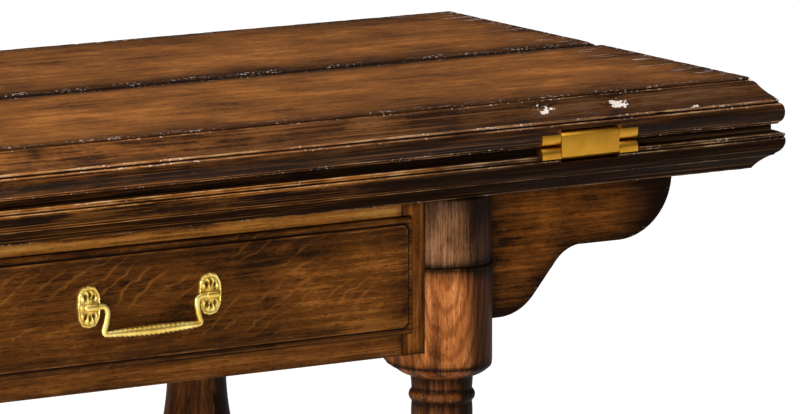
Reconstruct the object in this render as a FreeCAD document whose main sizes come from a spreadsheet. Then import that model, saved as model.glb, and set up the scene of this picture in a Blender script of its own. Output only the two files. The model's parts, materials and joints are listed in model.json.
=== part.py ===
import FreeCAD, Part
import math
import os
from types import SimpleNamespace

import Sketcher

# A double flip-top hunt table. A fixed top stands on four turned legs and a drawer frame. Two leaves lie
# on it, meet along the middle and fold outwards on double-pivot hinges, to lie level with the fixed top.
# Above each leg a knuckle turns on a pintle of the leg and swings a shaped bracket under the open leaf.
# X runs along the length, Y from front to back and Z up, with the origin on the floor under the middle.

# Driving dimensions in millimetres.
DIMENSIONS = {
    # Overall, closed
    "table_length": 1727,
    "table_depth": 508,
    "table_height": 813,
    # Leaves and fixed top
    "leaf_thickness": 38,
    "deck_thickness": 38,
    "rest_gap": 0.3,
    "seam_gap": 1,
    "seam_ease_run": 15,
    "seam_ease_drop": 3,
    # Moulded edge of the leaves
    "leaf_edge_run": 21,
    "leaf_cove_run": 18.4,
    "leaf_cove_drop": 17.5,
    "leaf_cove_radius": 46,
    "leaf_fillet_drop": 1.2,
    "nose_radius": 16,
    "nose_drop": 27.5,
    # Moulded edge of the fixed top
    "quirk_run": 8.7,
    "quirk_drop": 6.5,
    "lip_drop": 14,
    "ovolo_run": 6.9,
    "ovolo_drop": 25,
    "ovolo_radius": 12.2,
    "deck_fillet_run": 1.4,
    "deck_edge_run": 20,
    "deck_cove_radius": 34,
    # Double-pivot hinges
    "hinge_from_end": 194,
    "hinge_inset": 6,
    "hinge_pin_radius": 2,
    "hinge_pin_length": 86,
    "hinge_running_gap": 0.05,
    "hinge_seat_gap": 0.05,
    "link_length": 56,
    "link_height": 23,
    "link_back": 5.2,
    "link_proud": 0.3,
    "link_chamfer": 3,
    "link_sweep": 6.8,
    "link_clearance": 0.4,
    "plate_length": 93,
    "plate_height": 9,
    "plate_slot": 1,
    "plate_strip": 3,
    # Legs
    "leg_from_end": 302,
    "leg_from_side": 55.5,
    "column_radius": 41.2,
    "column_bevel_radius": 26.5,
    "column_bevel_height": 12.7,
    "column_low": 597,
    "column_corner_round": 24,
    "neck_radius": 25.4,
    "ring_low": 565,
    "ring_height": 10,
    "ring_radius": 27.6,
    "ring_bevel": 2.6,
    "throat_height": 528,
    "throat_curve": 248,
    "swell_radius": 34.85,
    "swell_height": 460,
    "belly_curve": 288,
    "belly_radius": 36.6,
    "belly_height": 350,
    "stem_radius": 20.5,
    "foot_radius": 24,
    "foot_height": 30,
    # Turning knuckles and their brackets
    "knuckle_radius": 39.8,
    "knuckle_height": 57,
    "turn_gap": 0.3,
    "pintle_radius": 11,
    "pintle_running_gap": 0.08,
    "pintle_in_deck": 18,
    "seat_gap": 0.02,
    "bracket_reach": 217,
    "bracket_height": 106,
    "bracket_thickness": 26,
    "bracket_tip_radius": 52.5,
    "bracket_cusp_reach": 124,
    "bracket_cusp_drop": 52.4,
    "hollow_radius": 33,
    "hollow_reach": 103,
    "hollow_drop": 63.7,
    "lobe_reach": 80.7,
    "lobe_drop": 90.3,
    "lobe_radius": 44,
    "lobe_foot_reach": 47,
    "bracket_column_gap": 0.8,
    "bracket_tenon_thickness": 12,
    "bracket_tenon_height": 38,
    "bracket_tenon_stop": 18,
    # Frame under the fixed top
    "apron_height": 126,
    "apron_thickness": 22,
    "face_from_axis": 25.5,
    "cope_gap": 0.1,
    "cope_flat": 0.5,
    "tenon_thickness": 10,
    "tenon_height": 50,
    "tenon_low": 6,
    "tenon_stop": 15,
    "stile_width": 22,
    "stile_thickness": 28,
    "centre_stile_width": 56,
    "rail_depth": 45,
    "top_rail_height": 19,
    "bottom_rail_height": 26,
    "rail_tongue": 8,
    "partition_thickness": 22,
    # Drawer runners, kickers and the cleats that hold the top down
    "runner_width": 24,
    "runner_height": 15,
    "guide_width": 11,
    "guide_height": 15,
    "kicker_width": 40,
    "kicker_height": 16,
    "cleat_width": 20,
    "cleat_height": 20,
    "cleat_end_inset": 40,
    # Drawers
    "drawer_overlap": 8,
    "drawer_side_gap": 1,
    "drawer_top_gap": 1.5,
    "drawer_seat_gap": 0.3,
    "drawer_front_proud": 6.7,
    "drawer_bead_run": 3.2,
    "drawer_bead_height": 5.2,
    "drawer_bead_flat": 8,
    "drawer_tongue": 16,
    "drawer_side_thickness": 12,
    "drawer_side_drop": 5,
    "drawer_back_gap": 30,
    "drawer_back_thickness": 12,
    "drawer_bottom_thickness": 6,
    "drawer_bottom_raise": 5,
    "drawer_groove": 5,
    "dovetail_length": 11,
    "dovetail_root": 13,
    "dovetail_tip": 17,
    "dovetail_pitch": 24,
    # Bail pulls
    "pull_spacing": 110,
    "pull_raise": 4,
    "rosette_width": 20.5,
    "rosette_height": 32.6,
    "rosette_end_radius": 6.5,
    "rosette_base": 1.4,
    "rosette_rim": 2.6,
    "rosette_boss": 9.5,
    "bail_radius": 1.8,
    "bail_running_gap": 0.05,
    "bail_bar_radius": 2.2,
    "bail_axis_reach": 5.4,
    "bail_arm_spacing": 82,
    "bail_ease": 4,
    "bail_drop": 25,
    "bail_bore_depth": 9,
}
DOVETAILS = 3
CORNERS = {
    "front_left": (-1, -1),
    "front_right": (1, -1),
    "rear_left": (-1, 1),
    "rear_right": (1, 1),
}
HANDS = {"left": -1, "right": 1}

doc = FreeCAD.newDocument("hunt_table")
sheet = doc.addObject("Spreadsheet::Sheet", "Sizes")
for row, (alias, millimetres) in enumerate(DIMENSIONS.items(), start=1):
    sheet.set(f"A{row}", alias)
    sheet.set(f"B{row}", str(millimetres))
    sheet.setAlias(f"B{row}", alias)
doc.recompute()


class Size:
    """A number of millimetres with the sheet formula that gives it."""

    def __init__(self, value, formula):
        self.value = float(value)
        self.formula = formula

    def __add__(self, other):
        other = size_of(other)
        return Size(self.value + other.value, f"({self.formula} + {other.formula})")

    def __sub__(self, other):
        other = size_of(other)
        return Size(self.value - other.value, f"({self.formula} - {other.formula})")

    def __mul__(self, other):
        other = size_of(other)
        return Size(self.value * other.value, f"({self.formula} * {other.formula})")

    def __truediv__(self, other):
        other = size_of(other)
        return Size(self.value / other.value, f"({self.formula} / {other.formula})")

    def __rsub__(self, other):
        return size_of(other) - self

    def __neg__(self):
        return Size(-self.value, f"(0 - {self.formula})")

    __radd__ = __add__
    __rmul__ = __mul__


def size_of(number):
    return number if isinstance(number, Size) else Size(number, str(float(number)))


def root(size):
    return Size(math.sqrt(size.value), f"sqrt({size.formula})")


dim = SimpleNamespace(**{alias: Size(number, f"Sizes.{alias}") for alias, number in DIMENSIONS.items()})
pieces = []


def finished(label, item):
    """Name a sub-part and keep it for the hand-over."""
    item.Label = label
    pieces.append(item)
    return item


def span(side, near, far):
    """Limits from near to far, counted outwards from the middle on the side given by its sign."""
    near, far = size_of(near), size_of(far)
    return (near, far) if side > 0 else (-far, -near)


def place(item, at, turn=FreeCAD.Rotation()):
    item.Placement = FreeCAD.Placement(FreeCAD.Vector(), turn)
    for axis, size in zip("xyz", at):
        item.setExpression(f"Placement.Base.{axis}", size_of(size).formula)
    return item


def about_z(degrees):
    return FreeCAD.Rotation(FreeCAD.Vector(0, 0, 1), degrees)


ALONG_X = FreeCAD.Rotation(FreeCAD.Vector(0, 1, 0), 90)
ALONG_Y = {
    1: FreeCAD.Rotation(FreeCAD.Vector(1, 0, 0), -90),
    -1: FreeCAD.Rotation(FreeCAD.Vector(1, 0, 0), 90),
}


def box(label, *limits):
    """A block between limits on X, Y and Z."""
    block = doc.addObject("Part::Box", label)
    for (low, high), side in zip(limits, ("Length", "Width", "Height")):
        block.setExpression(side, (high - low).formula)
    return place(block, [low for low, high in limits])


def rod(label, radius, length, at, turn=FreeCAD.Rotation()):
    cylinder = doc.addObject("Part::Cylinder", label)
    cylinder.setExpression("Radius", radius.formula)
    cylinder.setExpression("Height", length.formula)
    return place(cylinder, at, turn)


def cone(label, low_radius, high_radius, length, at, turn=FreeCAD.Rotation()):
    taper = doc.addObject("Part::Cone", label)
    taper.setExpression("Radius1", low_radius.formula)
    taper.setExpression("Radius2", high_radius.formula)
    taper.setExpression("Height", length.formula)
    return place(taper, at, turn)


def joined(label, items):
    result = doc.addObject("Part::MultiFuse", label)
    result.Shapes = items
    return result


def group(label, items):
    result = doc.addObject("Part::Compound", label)
    result.Links = items
    return result


def cut(label, base, tools):
    result = doc.addObject("Part::Cut", label)
    result.Base = base
    result.Tool = tools[0] if len(tools) == 1 else joined(f"{label}_cutters", tools)
    return result


def common(label, first, second):
    result = doc.addObject("Part::Common", label)
    result.Base = first
    result.Tool = second
    return result


def arc_between(start, stop, radius):
    """The short arc from start to stop, which turns left for a positive radius and right otherwise."""
    chord = stop - start
    middle = (start + stop) * 0.5
    rise = math.sqrt(radius * radius - chord.Length ** 2 / 4)
    left = FreeCAD.Vector(-chord.y, chord.x, 0).normalize()
    centre = middle + left * math.copysign(rise, radius)
    first, last = (start, stop) if radius > 0 else (stop, start)
    angles = [math.atan2(end.y - centre.y, end.x - centre.x) for end in (first, last)]
    circle = Part.Circle(centre, FreeCAD.Vector(0, 0, 1), abs(radius))
    return Part.ArcOfCircle(circle, *angles)


def hold(sketch, kind, geometry, point, size):
    """Tie one coordinate of a sketch point to its formula."""
    index = sketch.addConstraint(Sketcher.Constraint(kind, -1, 1, geometry, point, size.value))
    sketch.setExpression(f"Constraints[{index}]", size.formula)


def draw(sketch, points, closed=True):
    """Draw an outline whose points are (x, y), or (x, y, radius) where an arc runs to the next point."""
    points = [tuple(size_of(number) for number in point) for point in points]
    spots = [FreeCAD.Vector(point[0].value, point[1].value, 0) for point in points]
    count = len(points)
    edges = count if closed else count - 1
    ends = []
    for index in range(edges):
        start, stop = spots[index], spots[(index + 1) % count]
        curved = len(points[index]) == 3
        edge = arc_between(start, stop, points[index][2].value) if curved else Part.LineSegment(start, stop)
        sketch.addGeometry(edge)
        ends.append((2, 1) if curved and points[index][2].value < 0 else (1, 2))
    for index in range(edges if closed else edges - 1):
        after = (index + 1) % edges
        sketch.addConstraint(Sketcher.Constraint("Coincident", index, ends[index][1], after, ends[after][0]))
    for index in range(edges):
        hold(sketch, "DistanceX", index, ends[index][0], points[index][0])
        hold(sketch, "DistanceY", index, ends[index][0], points[index][1])
        if len(points[index]) == 3:
            radius = points[index][2]
            kept = sketch.addConstraint(Sketcher.Constraint("Radius", index, abs(radius.value)))
            sketch.setExpression(f"Constraints[{kept}]", f"abs({radius.formula})")
    if not closed:
        hold(sketch, "DistanceX", edges - 1, ends[-1][1], points[-1][0])
        hold(sketch, "DistanceY", edges - 1, ends[-1][1], points[-1][1])


def sketch_in(body, plane, points):
    sketch = body.newObject("Sketcher::SketchObject", f"{body.Name}_outline")
    support = next(item for item in body.Origin.OriginFeatures if item.Role == plane)
    sketch.AttachmentSupport = [(support, "")]
    sketch.MapMode = "FlatFace"
    draw(sketch, points)
    return sketch


def padded(label, plane, points, thickness):
    """A body padded evenly to both sides of an origin plane."""
    body = doc.addObject("PartDesign::Body", label)
    pad = body.newObject("PartDesign::Pad", f"{label}_pad")
    pad.Profile = sketch_in(body, plane, points)
    pad.SideType = "Symmetric"
    pad.setExpression("Length", size_of(thickness).formula)
    return body


def turned(label, points):
    """A body turned about the Z axis from its half outline of (radius, height)."""
    body = doc.addObject("PartDesign::Body", label)
    lathe = body.newObject("PartDesign::Revolution", f"{label}_turning")
    profile = sketch_in(body, "XZ_Plane", points)
    lathe.Profile = profile
    lathe.ReferenceAxis = (profile, ["V_Axis"])
    lathe.Angle = 360
    return body


def mirrored(points):
    """The same edge on the other side, walked back from its last point to its first."""
    points = [tuple(point) for point in points]
    arcs = [point[2:] for point in points]
    flipped = [(-size_of(point[0]), point[1]) for point in points]
    return [flipped[index] + (arcs[index - 1] if index else ()) for index in range(len(points) - 1, -1, -1)]


# Levels and lines that several pieces share
leaf_low = dim.table_height - dim.leaf_thickness
fold_level = leaf_low - dim.rest_gap / 2
deck_level = leaf_low - dim.rest_gap
frame_top = deck_level - dim.deck_thickness
frame_low = frame_top - dim.apron_height
column_top = frame_top - dim.knuckle_height
half_length = dim.table_length / 2
half_depth = dim.table_depth / 2
# The boards are sawn over size before their edges are moulded
blank_length = dim.table_length + dim.leaf_edge_run
blank_depth = dim.table_depth + dim.leaf_edge_run
leg_x = half_length - dim.leg_from_end
leg_y = half_depth - dim.leg_from_side
face_y = leg_y + dim.face_from_axis
face_x = leg_x + dim.face_from_axis
apron_inner_y = face_y - dim.apron_thickness
# Where the face of the frame meets the round of a column
cope_reach = root(dim.column_radius * dim.column_radius - dim.face_from_axis * dim.face_from_axis)
joint_x = leg_x - cope_reach - dim.cope_flat
joint_y = leg_y - cope_reach - dim.cope_flat
stile_edge = leg_x - cope_reach - dim.stile_width
opening_low = frame_low + dim.bottom_rail_height
opening_high = frame_top - dim.top_rail_height
centre_edge = dim.centre_stile_width / 2


def leaf_edge(lip):
    """A leaf's moulded edge from the top arris down to its underside: cove, fillet and round nose."""
    nose_centre = lip - dim.nose_radius
    cove_low = dim.table_height - dim.leaf_cove_drop
    fillet_low = cove_low - dim.leaf_fillet_drop
    square = dim.nose_radius * dim.nose_radius
    above = fillet_low - (dim.table_height - dim.nose_drop)
    below = dim.leaf_thickness - dim.nose_drop
    return [
        (lip - dim.leaf_edge_run, dim.table_height, dim.leaf_cove_radius),
        (lip - dim.leaf_edge_run + dim.leaf_cove_run - dim.leaf_fillet_drop, cove_low),
        (nose_centre + root(square - above * above), fillet_low, -dim.nose_radius),
        (nose_centre + root(square - below * below), leaf_low),
    ]


def seam_edge(seam):
    """A leaf's eased inner edge, from the top surface down to its underside."""
    run, drop = dim.seam_ease_run, dim.seam_ease_drop
    return [
        (seam - run, dim.table_height, -(run * run + drop * drop) / (drop * 2)),
        (seam, dim.table_height - drop),
        (seam, leaf_low),
    ]


def deck_edge(lip):
    """The fixed top's moulded edge from its deck down: quirk, lip, ovolo, fillet and cove."""
    return [
        (lip - dim.quirk_run, deck_level),
        (lip - dim.quirk_run, deck_level - dim.quirk_drop),
        (lip, deck_level - dim.quirk_drop),
        (lip, deck_level - dim.lip_drop, -dim.ovolo_radius),
        (lip - dim.ovolo_run, deck_level - dim.ovolo_drop),
        (lip - dim.ovolo_run - dim.deck_fillet_run, deck_level - dim.ovolo_drop, dim.deck_cove_radius),
        (lip - dim.deck_edge_run, frame_top),
    ]


# Double-pivot hinges
pin_rise = dim.hinge_inset + dim.rest_gap / 2
pin_line = half_depth - dim.hinge_inset
link_room = dim.link_sweep + dim.link_clearance
strip_face = dim.hinge_inset + link_room
pocket_depth = strip_face + dim.plate_strip
hinge_x = half_length - dim.hinge_from_end
LEVELS = {"lower": -1, "upper": 1}
SIDES = {"front": -1, "rear": 1}
# A plate is drawn as the lower one at the rear and turned over for the other places
PLATE_TURNS = {
    (1, -1): FreeCAD.Rotation(),
    (1, 1): FreeCAD.Rotation(FreeCAD.Vector(0, 1, 0), 180),
    (-1, -1): FreeCAD.Rotation(FreeCAD.Vector(0, 0, 1), 180),
    (-1, 1): FreeCAD.Rotation(FreeCAD.Vector(1, 0, 0), 180),
}


def level(sign, near, far):
    """Limits on Z counted up or down from the fold between deck and leaf."""
    near, far = size_of(near), size_of(far)
    return (fold_level + near, fold_level + far) if sign > 0 else (fold_level - far, fold_level - near)


def around(centre, half):
    return (centre - half, centre + half)


def hinge_centres():
    return [hinge_x * hand for hand in HANDS.values()]


def hinge_cutters(label, side, sign):
    """What a hinge takes out of a leaf or the fixed top: link room and plate seat."""
    outside = half_depth + dim.link_proud + dim.link_clearance
    tools = []
    for number, centre in enumerate(hinge_centres()):
        name = f"{label}_hinge{number}"
        link_half = dim.link_length / 2 + dim.link_clearance
        plate_half = dim.plate_length / 2 + dim.hinge_seat_gap
        plate_top = dim.plate_slot + dim.plate_height + dim.hinge_seat_gap
        plate_back = half_depth - pocket_depth - dim.hinge_seat_gap
        link_y = span(side, half_depth - strip_face, outside)
        tools.append(box(f"{name}_link", around(centre, link_half), link_y, level(sign, 0, pin_rise + link_room)))
        tools.append(box(f"{name}_plate", around(centre, plate_half), span(side, plate_back, outside),
                         level(sign, 0, plate_top)))
    return tools


def hinge_plate(name, centre, side, sign):
    """A plate with a strip behind the link and two end blocks, with the pin fast between them.

    The blocks are rounded about the pin at their outer edge, where the two plates roll past each other.
    """
    face, back = dim.hinge_inset, dim.hinge_inset - pocket_depth
    high = pin_rise - dim.plate_slot
    low = high - dim.plate_height
    blank = padded(f"{name}_blank", "YZ_Plane", [
        (back, low),
        (face, low),
        (face, 0, face),
        (root(face * face - high * high), high),
        (back, high),
    ], dim.plate_length)
    room = box(f"{name}_room", around(size_of(0), dim.link_length / 2 + dim.link_clearance),
               (-link_room, face + dim.link_proud), (low - dim.link_clearance, high + dim.link_clearance))
    pin = rod(f"{name}_pin", dim.hinge_pin_radius, dim.hinge_pin_length, (-dim.hinge_pin_length / 2, 0, 0), ALONG_X)
    plate = joined(name, [cut(f"{name}_blocks", blank, [room]), pin])
    return place(plate, (centre, pin_line * side, fold_level + pin_rise * sign), PLATE_TURNS[side, sign])


def hinge_link(name, centre, side):
    """The link between both pins: rounded behind each pin and chamfered along its outer edges."""
    half = dim.link_height / 2
    face = dim.hinge_inset + dim.link_proud
    back = -dim.link_back
    turn = dim.link_height / 2 - pin_rise
    outline = [
        (face - dim.link_chamfer, half),
        (face, half - dim.link_chamfer),
        (face, -half + dim.link_chamfer),
        (face - dim.link_chamfer, -half),
        (back + turn, -half, -turn),
        (back, -half + turn),
        (back, half - turn, -turn),
        (back + turn, half),
    ]
    bar = padded(f"{name}_bar", "YZ_Plane", outline, dim.link_length)
    place(bar, (0, 0, 0))
    bores = [rod(f"{name}_bore{number}", dim.hinge_pin_radius + dim.hinge_running_gap, dim.link_length,
                 (-dim.link_length / 2, 0, pin_rise * sign), ALONG_X)
             for number, sign in enumerate(LEVELS.values())]
    link = cut(name, bar, bores)
    return place(link, (centre, pin_line * side, fold_level), about_z(0 if side > 0 else 180))


def build_hinges(side_name):
    side = SIDES[side_name]
    prefix = f"{side_name}_hinge"
    for level_name, sign in LEVELS.items():
        plates = [hinge_plate(f"{prefix}_{level_name}{number}_plate", centre, side, sign)
                  for number, centre in enumerate(hinge_centres())]
        finished(f"{prefix}_{level_name}_plates", group(f"{prefix}_{level_name}_plate_set", plates))
    links = [hinge_link(f"{prefix}_link{number}", centre, side) for number, centre in enumerate(hinge_centres())]
    finished(f"{prefix}_links", group(f"{prefix}_link_set", links))


# Leaves and fixed top
def build_leaf(side_name):
    """Two moulded profiles, one along the table and one across it, meet in mitred corners."""
    side = SIDES[side_name]
    seam = seam_edge(-dim.seam_gap / 2)
    lip = leaf_edge(half_depth)
    outline = lip + mirrored(seam) if side > 0 else seam + mirrored(lip)
    along = padded(f"{side_name}_leaf_along", "YZ_Plane", outline, blank_length)
    ends = leaf_edge(half_length)
    across = padded(f"{side_name}_leaf_across", "XZ_Plane", ends + mirrored(ends), blank_depth)
    board = common(f"{side_name}_leaf_board", along, across)
    cutters = hinge_cutters(f"{side_name}_leaf", side, LEVELS["upper"])
    finished(f"{side_name}_leaf", cut(f"{side_name}_leaf_cut", board, cutters))


def build_fixed_top():
    long_edge = deck_edge(half_depth)
    end_edge = deck_edge(half_length)
    along = padded("deck_along", "YZ_Plane", long_edge + mirrored(long_edge), blank_length)
    across = padded("deck_across", "XZ_Plane", end_edge + mirrored(end_edge), blank_depth)
    board = common("deck_board", along, across)
    cutters = []
    for side_name, side in SIDES.items():
        cutters += hinge_cutters(f"deck_{side_name}", side, LEVELS["lower"])
    for corner, (hand, side) in CORNERS.items():
        cutters.append(rod(f"deck_socket_{corner}", dim.pintle_radius + dim.seat_gap, dim.pintle_in_deck,
                           (leg_x * hand, leg_y * side, frame_top)))
    finished("fixed_top", cut("deck_cut", board, cutters))


# Legs
def leg_outline():
    """The turned half outline from the foot up: foot, stem, belly, throat, neck, ring, column and pintle."""
    ring_high = dim.ring_low + dim.ring_height
    bevel_low = dim.column_low - dim.column_bevel_height
    pintle_top = frame_top + dim.pintle_in_deck
    return [
        (0, 0),
        (dim.foot_radius, 0),
        (dim.foot_radius, dim.foot_height),
        (dim.stem_radius, dim.foot_height),
        (dim.belly_radius, dim.belly_height, dim.belly_curve),
        (dim.swell_radius, dim.swell_height, -dim.throat_curve),
        (dim.neck_radius, dim.throat_height),
        (dim.neck_radius, dim.ring_low),
        (dim.ring_radius, dim.ring_low + dim.ring_bevel),
        (dim.ring_radius, ring_high - dim.ring_bevel),
        (dim.neck_radius, ring_high),
        (dim.neck_radius, bevel_low),
        (dim.column_bevel_radius, bevel_low),
        (dim.column_radius, dim.column_low),
        (dim.column_radius, column_top),
        (dim.pintle_radius, column_top),
        (dim.pintle_radius, pintle_top),
        (0, pintle_top),
    ]


def leg_block(name):
    """The square inner corner of a column, rounded at its edge and bevelled below like the turning."""
    radius, corner = dim.column_radius, dim.column_corner_round
    bevel_low = dim.column_low - dim.column_bevel_height
    square = padded(f"{name}_square", "XY_Plane", [
        (0, 0),
        (0, radius),
        (-radius + corner, radius, corner),
        (-radius, radius - corner),
        (-radius, 0),
    ], column_top * 2)
    slope = (radius - dim.column_bevel_radius) / dim.column_bevel_height
    height = column_top - bevel_low
    bevel = cone(f"{name}_bevel", dim.column_bevel_radius, dim.column_bevel_radius + slope * height, height,
                 (0, 0, bevel_low))
    return common(f"{name}_block", square, bevel)


tenon_near = dim.face_from_axis - (dim.apron_thickness + dim.tenon_thickness) / 2
tenon_far = tenon_near + dim.tenon_thickness
tenon_z = (frame_low + dim.tenon_low, frame_low + dim.tenon_low + dim.tenon_height)
CORNER_TURNS = {"front_right": 0, "rear_right": 90, "rear_left": 180, "front_left": 270}


def leg(corner):
    name = f"leg_{corner}"
    hand, side = CORNERS[corner]
    blank = joined(f"{name}_blank", [turned(f"{name}_turned", leg_outline()), leg_block(name)])
    reach = (dim.tenon_stop, dim.column_radius * 2)
    mortises = [
        box(f"{name}_end_mortise", (tenon_near, tenon_far), reach, tenon_z),
        box(f"{name}_side_mortise", span(-1, *reach), span(-1, tenon_near, tenon_far), tenon_z),
    ]
    post = cut(name, blank, mortises)
    return place(post, (leg_x * hand, leg_y * side, 0), about_z(CORNER_TURNS[corner]))


def build_legs():
    finished("legs", group("leg_set", [leg(corner) for corner in CORNERS]))


# Knuckles and brackets
knuckle_low = column_top + dim.turn_gap
knuckle_high = frame_top - dim.turn_gap


def bracket_tenon(name, gap):
    """The tenon between bracket and knuckle; a gap above zero makes the cutter for its mortise."""
    middle = (knuckle_low + knuckle_high) / 2
    half = dim.bracket_tenon_height / 2 + gap
    start = dim.bracket_tenon_stop - gap
    return box(name, (start, dim.knuckle_radius + dim.bracket_thickness / 2),
               around(size_of(0), dim.bracket_tenon_thickness / 2 + gap), around(middle, half))


def build_knuckle(corner):
    name = f"knuckle_{corner}"
    hand, side = CORNERS[corner]
    bore = dim.pintle_radius + dim.pintle_running_gap
    drum = turned(f"{name}_turned", [
        (bore, knuckle_low),
        (dim.knuckle_radius, knuckle_low),
        (dim.knuckle_radius, knuckle_high),
        (bore, knuckle_high),
    ])
    knuckle = cut(f"{name}_cut", drum, [bracket_tenon(f"{name}_mortise", dim.seat_gap)])
    finished(name, place(knuckle, (leg_x * hand, leg_y * side, 0), about_z(0 if hand > 0 else 180)))


def build_bracket(corner):
    """A scrolled board: convex lobe by the leg, hollow, cusp, level run and a quarter round at its tip."""
    name = f"bracket_{corner}"
    hand, side = CORNERS[corner]
    inner = dim.knuckle_radius / 2
    tip = dim.bracket_tip_radius
    board = padded(f"{name}_board", "XZ_Plane", [
        (inner, knuckle_high),
        (dim.bracket_reach, knuckle_high, -tip),
        (dim.bracket_reach - tip, knuckle_high - tip),
        (dim.bracket_cusp_reach, knuckle_high - dim.bracket_cusp_drop, dim.hollow_radius),
        (dim.hollow_reach, knuckle_high - dim.hollow_drop),
        (dim.lobe_reach, knuckle_high - dim.lobe_drop, -dim.lobe_radius),
        (dim.lobe_foot_reach, knuckle_high - dim.bracket_height),
        (inner, knuckle_high - dim.bracket_height),
    ], dim.bracket_thickness)
    copes = [
        rod(f"{name}_column_room", dim.column_radius + dim.bracket_column_gap, column_top + dim.turn_gap * 2,
            (0, 0, 0)),
        rod(f"{name}_knuckle_seat", dim.knuckle_radius + dim.seat_gap, knuckle_high, (0, 0, 0)),
    ]
    coped = cut(f"{name}_coped", board, copes)
    bracket = joined(f"{name}_whole", [coped, bracket_tenon(f"{name}_tenon", size_of(0))])
    finished(name, place(bracket, (leg_x * hand, leg_y * side, 0), about_z(0 if hand > 0 else 180)))


# Frame
def column_room(name, hand, side):
    return rod(name, dim.column_radius + dim.cope_gap, dim.table_height, (leg_x * hand, leg_y * side, 0))


def build_front_stile(hand_name):
    """An upright scribed to the column, with a tenon into the leg and an open mortise for the top rail."""
    hand = HANDS[hand_name]
    name = f"front_stile_{hand_name}"
    stile_y = span(-1, face_y - dim.stile_thickness, face_y)
    board = box(f"{name}_board", span(hand, stile_edge, joint_x + dim.cope_flat), stile_y, (frame_low, frame_top))
    scribed = cut(f"{name}_scribed", board, [
        column_room(f"{name}_column", hand, -1),
        box(f"{name}_rail_slot", span(hand, stile_edge, stile_edge + dim.rail_tongue), rail_tongue_y(),
            (opening_high, frame_top)),
        box(f"{name}_low_rail_slot", span(hand, stile_edge, stile_edge + dim.rail_tongue), rail_tongue_y(),
            (frame_low, opening_low)),
    ])
    tenon = box(f"{name}_tenon", span(hand, stile_edge + dim.rail_tongue, leg_x - dim.tenon_stop),
                span(-1, leg_y + tenon_near, leg_y + tenon_far), tenon_z)
    finished(name, joined(f"{name}_whole", [scribed, tenon]))


def rail_tongue_y():
    return span(-1, leg_y + tenon_near, leg_y + tenon_far)


def build_front_rails():
    heights = {"top": (opening_high, frame_top), "bottom": (frame_low, opening_low)}
    for rail_name, rail_z in heights.items():
        name = f"front_{rail_name}_rail"
        board = box(f"{name}_board", around(size_of(0), stile_edge), span(-1, face_y - dim.rail_depth, face_y),
                    rail_z)
        tongue = box(f"{name}_tongue", around(size_of(0), stile_edge + dim.rail_tongue), rail_tongue_y(), rail_z)
        finished(name, joined(f"{name}_whole", [board, tongue]))


def build_rear_apron():
    board = box("rear_apron_board", around(size_of(0), joint_x), (apron_inner_y, face_y), (frame_low, frame_top))
    coped = cut("rear_apron_coped", board,
                [column_room(f"rear_apron_{hand_name}", hand, 1) for hand_name, hand in HANDS.items()])
    tenon = box("rear_apron_tenon", around(size_of(0), leg_x - dim.tenon_stop),
                (leg_y + tenon_near, leg_y + tenon_far), tenon_z)
    finished("rear_apron", joined("rear_apron_whole", [coped, tenon]))


def build_end_apron(hand_name):
    hand = HANDS[hand_name]
    name = f"end_apron_{hand_name}"
    board = box(f"{name}_board", span(hand, face_x - dim.apron_thickness, face_x), around(size_of(0), joint_y),
                (frame_low, frame_top))
    coped = cut(f"{name}_coped", board,
                [column_room(f"{name}_{side_name}", hand, side) for side_name, side in SIDES.items()])
    tenon = box(f"{name}_tenon", span(hand, leg_x + tenon_near, leg_x + tenon_far),
                around(size_of(0), leg_y - dim.tenon_stop), tenon_z)
    finished(name, joined(f"{name}_whole", [coped, tenon]))


def build_centre():
    finished("front_centre_stile", box("centre_stile", around(size_of(0), centre_edge),
                                       span(-1, apron_inner_y, face_y), (opening_low, opening_high)))
    finished("centre_partition", box("partition", around(size_of(0), dim.partition_thickness / 2),
                                     (-(face_y - dim.rail_depth), apron_inner_y), (frame_low, frame_top)))


def build_runners():
    """Runners under both edges of each drawer, with a guide standing on each, from rail to rear apron."""
    run_y = (-(face_y - dim.rail_depth), apron_inner_y)
    guide_top = opening_low + dim.guide_height
    runners = []
    for hand_name, hand in HANDS.items():
        wall = dim.partition_thickness / 2
        inner = [
            box(f"runner_inner_{hand_name}", span(hand, wall, centre_edge + dim.runner_width), run_y,
                (opening_low - dim.runner_height, opening_low)),
            box(f"guide_inner_{hand_name}", span(hand, wall, centre_edge), run_y, (opening_low, guide_top)),
        ]
        outer = [
            box(f"runner_outer_{hand_name}", span(hand, stile_edge - dim.runner_width, stile_edge + dim.guide_width),
                run_y, (opening_low - dim.runner_height, opening_low)),
            box(f"guide_outer_{hand_name}", span(hand, stile_edge, stile_edge + dim.guide_width), run_y,
                (opening_low, guide_top)),
        ]
        runners.append(joined(f"inner_runner_{hand_name}", inner))
        runners.append(joined(f"outer_runner_{hand_name}", outer))
    finished("drawer_runners", group("runner_set", runners))


drawer_middle = (centre_edge + stile_edge) / 2
cleat_end = stile_edge - dim.cleat_end_inset


def build_kickers():
    """A bar over the middle of each drawer keeps it level when it is pulled out."""
    kickers = [box(f"kicker_{hand_name}", around(drawer_middle * hand, dim.kicker_width / 2),
                   (-(face_y - dim.rail_depth), apron_inner_y - dim.cleat_width),
                   (frame_top - dim.kicker_height, frame_top))
               for hand_name, hand in HANDS.items()]
    finished("drawer_kickers", group("kicker_set", kickers))


def build_cleats():
    cleat_z = (frame_top - dim.cleat_height, frame_top)
    cleats = []
    for hand_name, hand in HANDS.items():
        cleats.append(box(f"rear_cleat_{hand_name}", span(hand, dim.partition_thickness / 2, cleat_end),
                          (apron_inner_y - dim.cleat_width, apron_inner_y), cleat_z))
        end_face = face_x - dim.apron_thickness
        cleats.append(box(f"end_cleat_{hand_name}", span(hand, end_face - dim.cleat_width, end_face),
                          around(size_of(0), joint_y - dim.cleat_end_inset), cleat_z))
    finished("top_cleats", group("cleat_set", cleats))


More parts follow.
